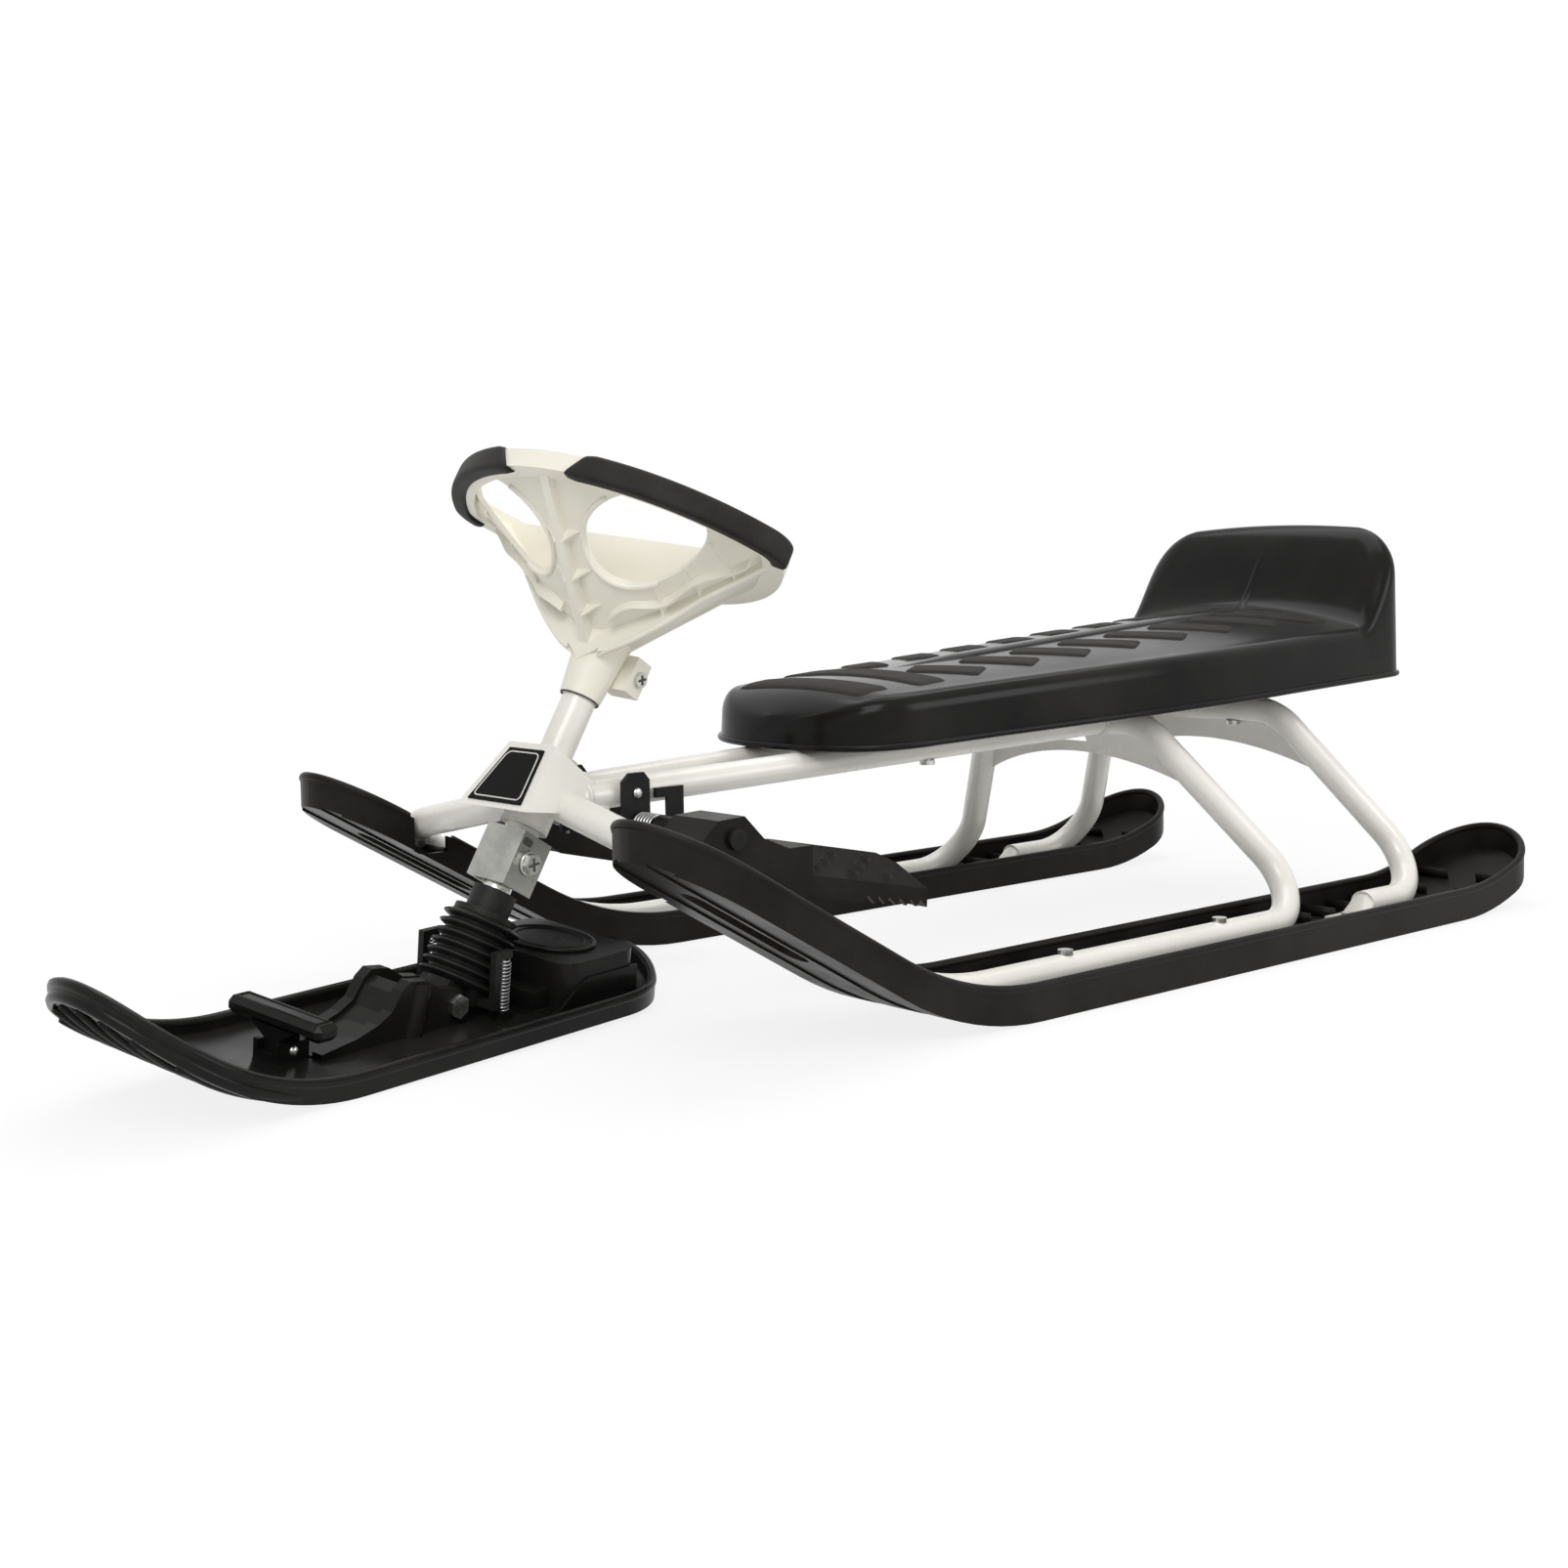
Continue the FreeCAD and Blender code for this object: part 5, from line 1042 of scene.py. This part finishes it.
# Ski: a glossy black moulding with an upturned tip, a thick rim all round and ribs under the tip.
# It rocks on a bolt in the strut's foot, and its sizes here are given with the steering straight.
ski_black = finish_of("ski_gloss", (0.007, 0.0068, 0.0065), (0.016, 0.015, 0.014),
                      patch=10, grain=500, bump=0.05, smooth=0.16, rough=0.32, shine=0.1)
dress(ski_black, "front_ski", "winder_housing", "winder_lid", "tow_handle")
frame_shift = 8.2865
sole_z = 10.4
tip_bend = 200
tip_from = -478
tip_lean = math.radians(45)
heel_bend = 66
heel_from = -213
ski_half = 69.2
tip_mid = -558
heel_mid = -247
rim_up = 11.6
ski_rim_r = 3.6 * mm
ski_end_steps = 36
ski_side_steps = 50
edge_up = 4.2
edge_from = -484
edge_run = 70
edge_thin = 0.6 * mm
edge_more = 3.6 * mm
tip_rib_x = (-54, -36, -18, 0, 18, 36, 54)
tip_rib_end = -492
tip_rib_reach = 68
tip_rib_r = 2.4 * mm
tip_rib_sink = 0.6
tip_rib_steps = 24


def on_ski(x, y, z):
    """Point of the steered ski from its place, in millimetres, with the steering straight."""
    return steer_at + steer_turn @ (Vector((x, y + frame_shift, z)) * mm - steer_at)


def keel_at(y):
    """Height of the ski's sole at a station, in millimetres."""
    slope_y = tip_from - tip_bend * math.sin(tip_lean)
    if y < slope_y:
        return sole_z + tip_bend * (1 - math.cos(tip_lean)) + (slope_y - y) * math.tan(tip_lean)
    if y < tip_from:
        return sole_z + tip_bend - math.sqrt(tip_bend ** 2 - (tip_from - y) ** 2)
    if y > heel_from:
        return sole_z + heel_bend - math.sqrt(heel_bend ** 2 - (y - heel_from) ** 2)
    return sole_z


rim_line = []
for half, middle_y, far_y in ((1, tip_mid, heel_mid), (-1, heel_mid, tip_mid)):
    for k in range(ski_end_steps):
        x, y = round_at(k / ski_end_steps / 2, half * ski_half)
        rim_line.append((-x, middle_y - y))
    rim_line += [(half * ski_half, middle_y + (far_y - middle_y) * k / ski_side_steps)
                 for k in range(ski_side_steps)]
rim = [on_ski(x, y, keel_at(y) + rim_up) for x, y in rim_line]
piece("ski_rim", *swept(rim, ski_rim_r, sides=8, closed=True), ski_black, "ski", "black_gloss")
half_way = len(rim_line) // 2
tip_line = [(x, y) for x, y in rim_line[half_way:] + rim_line[:half_way] if y < edge_from]
tip_edge = [on_ski(x, y, keel_at(y) + edge_up) for x, y in tip_line]
tip_size = [edge_thin + edge_more * eased((edge_from - y) / edge_run) for x, y in tip_line]
piece("ski_tip_edge", *swept(tip_edge, tip_size, sides=10), ski_black, "ski", "black_gloss")
verts = []
faces = []
for x in tip_rib_x:
    front = tip_mid - math.sqrt(tip_rib_reach ** 2 - x * x)
    stations = [front + (tip_rib_end - front) * k / tip_rib_steps for k in range(tip_rib_steps + 1)]
    line = [on_ski(x, y, keel_at(y) - tip_rib_sink) for y in stations]
    add_bar(verts, faces, line, tip_rib_r, sides=8)
piece("ski_tip_ribs", verts, faces, ski_black, "ski", "black_gloss")

# Cord winder: a black moulded housing on the ski's rear with side panels, narrow slots and an oval lid.
# Inside, a nylon drum turns on a nylon axle; the steering's bushes are of the same nylon.
nylon = finish_of("nylon", (0.7, 0.69, 0.64), (0.6, 0.59, 0.55),
                  patch=40, grain=800, bump=0.08, smooth=0.4, rough=0.55)
dress(nylon, "upper_bush", "lower_bush", "winder_axle", "reel_drum")
# The slots are painted shade: near-black matte plates on the side panels stand for the shade inside them.
painted_slot_shade = finish_of("painted_slot_shade", (0.003, 0.003, 0.003), (0.005, 0.005, 0.005),
                       patch=30, grain=600, bump=0.05, smooth=0.5, rough=0.7, shine=0.1)
panel_outline = [(-298, 16.4), (-217, 16.4), (-217, 36), (-266, 36), (-272, 34), (-290, 20)]
panel_reach = (49, 51.6)
slot_outline = [(-262, 24), (-236, 24), (-236, 28), (-262, 28)]
slot_reach = (51, 51.9)


def ski_plate(name, outline, reach, material, slot):
    """Flat plates on both sides of the ski, from an outline of (y, z) and a reach across, in millimetres."""
    verts = []
    faces = []
    count = len(outline)
    for side in (1, -1):
        base = len(verts)
        for x in reach:
            verts += [on_ski(side * x, y, z) for y, z in outline]
        faces.append(tuple(base + k for k in range(count)))
        faces.append(tuple(base + count + k for k in reversed(range(count))))
        faces += [(base + k, base + count + k, base + count + (k + 1) % count, base + (k + 1) % count)
                  for k in range(count)]
    return piece(name, verts, faces, material, "ski", slot, smooth=False)


ski_plate("winder_panels", panel_outline, panel_reach, ski_black, "black_gloss")
# These plates are painted shade for the slots' openings.
ski_plate("winder_slots", slot_outline, slot_reach, painted_slot_shade, "black_gloss")

# Tow handle: a black moulded grip docked on the ski's front, with a raised frame round its top.
# Two small zinc-plated screws hold the dock.
handle_half = 37
handle_front = -488.6
handle_rear = -479.4
handle_up = 46.9
handle_frame_r = 0.9 * mm
dock_screw_x = 11.6
dock_screw_y = -484
dock_screw_up = 23
dock_screw_size = (1.6 * mm, 3.2 * mm, 3.2 * mm)
handle_corners = ((-handle_half, handle_front), (handle_half, handle_front),
                  (handle_half, handle_rear), (-handle_half, handle_rear))
line = [on_ski(x, y, handle_up) for x, y in handle_corners]
frame_shape = swept(line, handle_frame_r, sides=8, closed=True)
piece("handle_frame", *frame_shape, ski_black, "tow_grip", "black_gloss")
heads = [(on_ski(x, dock_screw_y, dock_screw_up), (0, 0, 0), dock_screw_size)
         for x in (dock_screw_x, -dock_screw_x)]
repeated("dock_screws", ball(rings=8, sides=14), heads, zinc, "ski")

# Winder lid: an oval cap of the same black moulding, pressed on the housing.
# It has a round rim and a fine raised ring inside it.
lid_mid = -251
lid_half_x = 33.8
lid_half_y = 26
lid_steps = 72
lid_rings = (("lid_rim", 1.0, 48.9, 1.3), ("lid_ring", 0.8, 49.4, 0.6))
for name, scale, height, thick in lid_rings:
    spots = [round_at(k / lid_steps, scale) for k in range(lid_steps)]
    ring = [on_ski(lid_half_x * x, lid_mid + lid_half_y * y, height) for x, y in spots]
    piece(name, *swept(ring, thick * mm, sides=8, closed=True), ski_black, "ski", "black_gloss")

# Pull springs: a pair of thin steel coils hooked between the ski's deck and the strut's foot.
# They level the ski. Here each is one fixed coil.
pull_x = 34
pull_y = -330
pull_low = 21.4
pull_high = 57.4
pull_coil_r = 3.8
pull_wire_r = 0.75 * mm
pull_end = 0.7
pull_turns = 14
pull_turn_steps = 16
for side, word in ((1, "left"), (-1, "right")):
    coil = [on_ski(side * pull_x, pull_y - pull_coil_r, pull_low + pull_end)]
    for k in range(pull_turns * pull_turn_steps + 1):
        share = k / (pull_turns * pull_turn_steps)
        x, y = round_at(k / pull_turn_steps, pull_coil_r)
        height = pull_low + 2 * pull_end + (pull_high - pull_low - 4 * pull_end) * share
        coil.append(on_ski(side * pull_x + x, pull_y + y, height))
    coil.append(on_ski(side * pull_x, pull_y + pull_coil_r, pull_high - pull_end))
    wire_shape = swept(coil, pull_wire_r, sides=7)
    made = piece(word + "_pull_coil", *wire_shape, spring_steel, None, "spring_steel")
    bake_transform(made)
    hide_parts("pull_springs")

# Reel spring: a flat steel leaf wound in a spiral in the winder's floor, which draws the drum back.
# It is set on edge, and lies still with the ski.
leaf_first_r = 5.2
leaf_growth = 11
leaf_up = 19.4
leaf_half = 0.5 * mm
leaf_turns = 5
leaf_turn_steps = 40
spiral = []
for k in range(leaf_turns * leaf_turn_steps + 1):
    x, y = round_at(k / leaf_turn_steps, leaf_first_r + leaf_growth * k / (leaf_turns * leaf_turn_steps))
    spiral.append(on_ski(x, lid_mid + y, leaf_up))
leaf_shape = swept(spiral, leaf_half, sides=6, flat=3.5)
reel_leaf = piece("reel_leaf", *leaf_shape, spring_steel, "ski", "spring_steel")
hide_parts("reel_spring")

# Studio: a pale floor and a white surround with soft light from above, the front and the side.
# The floor keeps the sled's shadow near it and fades into the white. The camera stands where the photo's did.
floor_white = bpy.data.materials.new("floor_white")
floor_white.use_nodes = True
tree = floor_white.node_tree
floor_half = 8
floor_drop = 0.0005


def seen_directly(tree):
    """Socket that is 1 for rays from the camera and off or through a shiny or clear piece, 0 for the rest."""
    rays = tree.nodes.new("ShaderNodeLightPath")
    seen = tree.nodes.new("ShaderNodeMath")
    seen.operation = "MAXIMUM"
    seen_too = tree.nodes.new("ShaderNodeMath")
    seen_too.operation = "MAXIMUM"
    tree.links.new(rays.outputs["Is Camera Ray"], seen.inputs[0])
    tree.links.new(rays.outputs["Is Transmission Ray"], seen.inputs[1])
    tree.links.new(seen.outputs["Value"], seen_too.inputs[0])
    tree.links.new(rays.outputs["Is Glossy Ray"], seen_too.inputs[1])
    return seen_too.outputs["Value"]


diffuse = tree.nodes["Principled BSDF"]
diffuse.inputs["Base Color"].default_value = (0.9, 0.9, 0.9, 1)
diffuse.inputs["Roughness"].default_value = 0.8
glow = tree.nodes.new("ShaderNodeEmission")
glow.inputs["Color"].default_value = (1, 1, 1, 1)
floor_spot = tree.nodes.new("ShaderNodeTexCoord")
distance = tree.nodes.new("ShaderNodeVectorMath")
distance.operation = "LENGTH"
fade = tree.nodes.new("ShaderNodeMapRange")
fade.inputs["From Min"].default_value = 0.45
fade.inputs["From Max"].default_value = 1.3
fade.inputs["To Min"].default_value = 0.84
fade.inputs["To Max"].default_value = 1.0
glow_share = tree.nodes.new("ShaderNodeMath")
glow_share.operation = "MULTIPLY"
both = tree.nodes.new("ShaderNodeMixShader")
tree.links.new(floor_spot.outputs["Object"], distance.inputs[0])
tree.links.new(distance.outputs["Value"], fade.inputs["Value"])
tree.links.new(seen_directly(tree), glow_share.inputs[0])
tree.links.new(fade.outputs["Result"], glow_share.inputs[1])
tree.links.new(glow_share.outputs["Value"], both.inputs["Fac"])
tree.links.new(diffuse.outputs["BSDF"], both.inputs[1])
tree.links.new(glow.outputs["Emission"], both.inputs[2])
tree.links.new(both.outputs["Shader"], tree.nodes["Material Output"].inputs["Surface"])
mesh = bpy.data.meshes.new("floor")
corners = [(x * floor_half, y * floor_half, -floor_drop) for x, y in ((-1, -1), (1, -1), (1, 1), (-1, 1))]
mesh.from_pydata(corners, [], [(0, 1, 2, 3)])
mesh.materials.append(floor_white)
floor = bpy.data.objects.new("floor", mesh)
bpy.context.scene.collection.objects.link(floor)
world = bpy.data.worlds.new("studio")
bpy.context.scene.world = world
world.use_nodes = True
tree = world.node_tree
surround = tree.nodes["Background"]
surround.inputs["Color"].default_value = (1, 1, 1, 1)
level = tree.nodes.new("ShaderNodeMapRange")
level.inputs["To Min"].default_value = 0.42
level.inputs["To Max"].default_value = 1.0
tree.links.new(seen_directly(tree), level.inputs["Value"])
tree.links.new(level.outputs["Result"], surround.inputs["Strength"])
lamps = (("key", Vector((1.6, -1.9, 2.3)), Vector((0, 0, 0.15)), 1.6, 46),
         ("top", Vector((-0.4, 0.5, 2.6)), Vector((0, 0, 0.1)), 2.2, 40),
         ("side", Vector((2.4, 1.2, 1.1)), Vector((0, 0.1, 0.2)), 1.2, 18))
for name, spot, aim, size, power in lamps:
    lamp = bpy.data.lights.new(name, "AREA")
    lamp.size = size
    lamp.energy = power
    stand = bpy.data.objects.new(name, lamp)
    stand.location = spot
    stand.rotation_euler = (aim - spot).to_track_quat("-Z", "Y").to_euler()
    bpy.context.scene.collection.objects.link(stand)
bpy.context.scene.view_settings.view_transform = "Standard"
photo_px = 1605
focal_px = 2087
azimuth = math.radians(49.86)
elevation = math.radians(4.18)
roll = math.radians(-1.03)
camera_aim = Vector((0, -0.0667, 0.204))
camera_reach = 1.501
level_back = Vector((math.sin(azimuth), -math.cos(azimuth), 0))
back = level_back * math.cos(elevation) + Vector((0, 0, math.sin(elevation)))
level_right = Vector((math.cos(azimuth), math.sin(azimuth), 0))
level_up = back.cross(level_right)
right = level_right * math.cos(roll) + level_up * math.sin(roll)
up = level_up * math.cos(roll) - level_right * math.sin(roll)
lens = bpy.data.cameras.new("camera")
lens.sensor_width = 36
lens.lens = lens.sensor_width * focal_px / photo_px
lens.shift_x = 0.0165
lens.shift_y = -0.0526
camera = bpy.data.objects.new("camera", lens)
turned = Matrix((right, up, back)).transposed().to_4x4()
camera.matrix_world = Matrix.Translation(camera_aim + back * camera_reach) @ turned
bpy.context.scene.collection.objects.link(camera)
bpy.context.scene.camera = camera
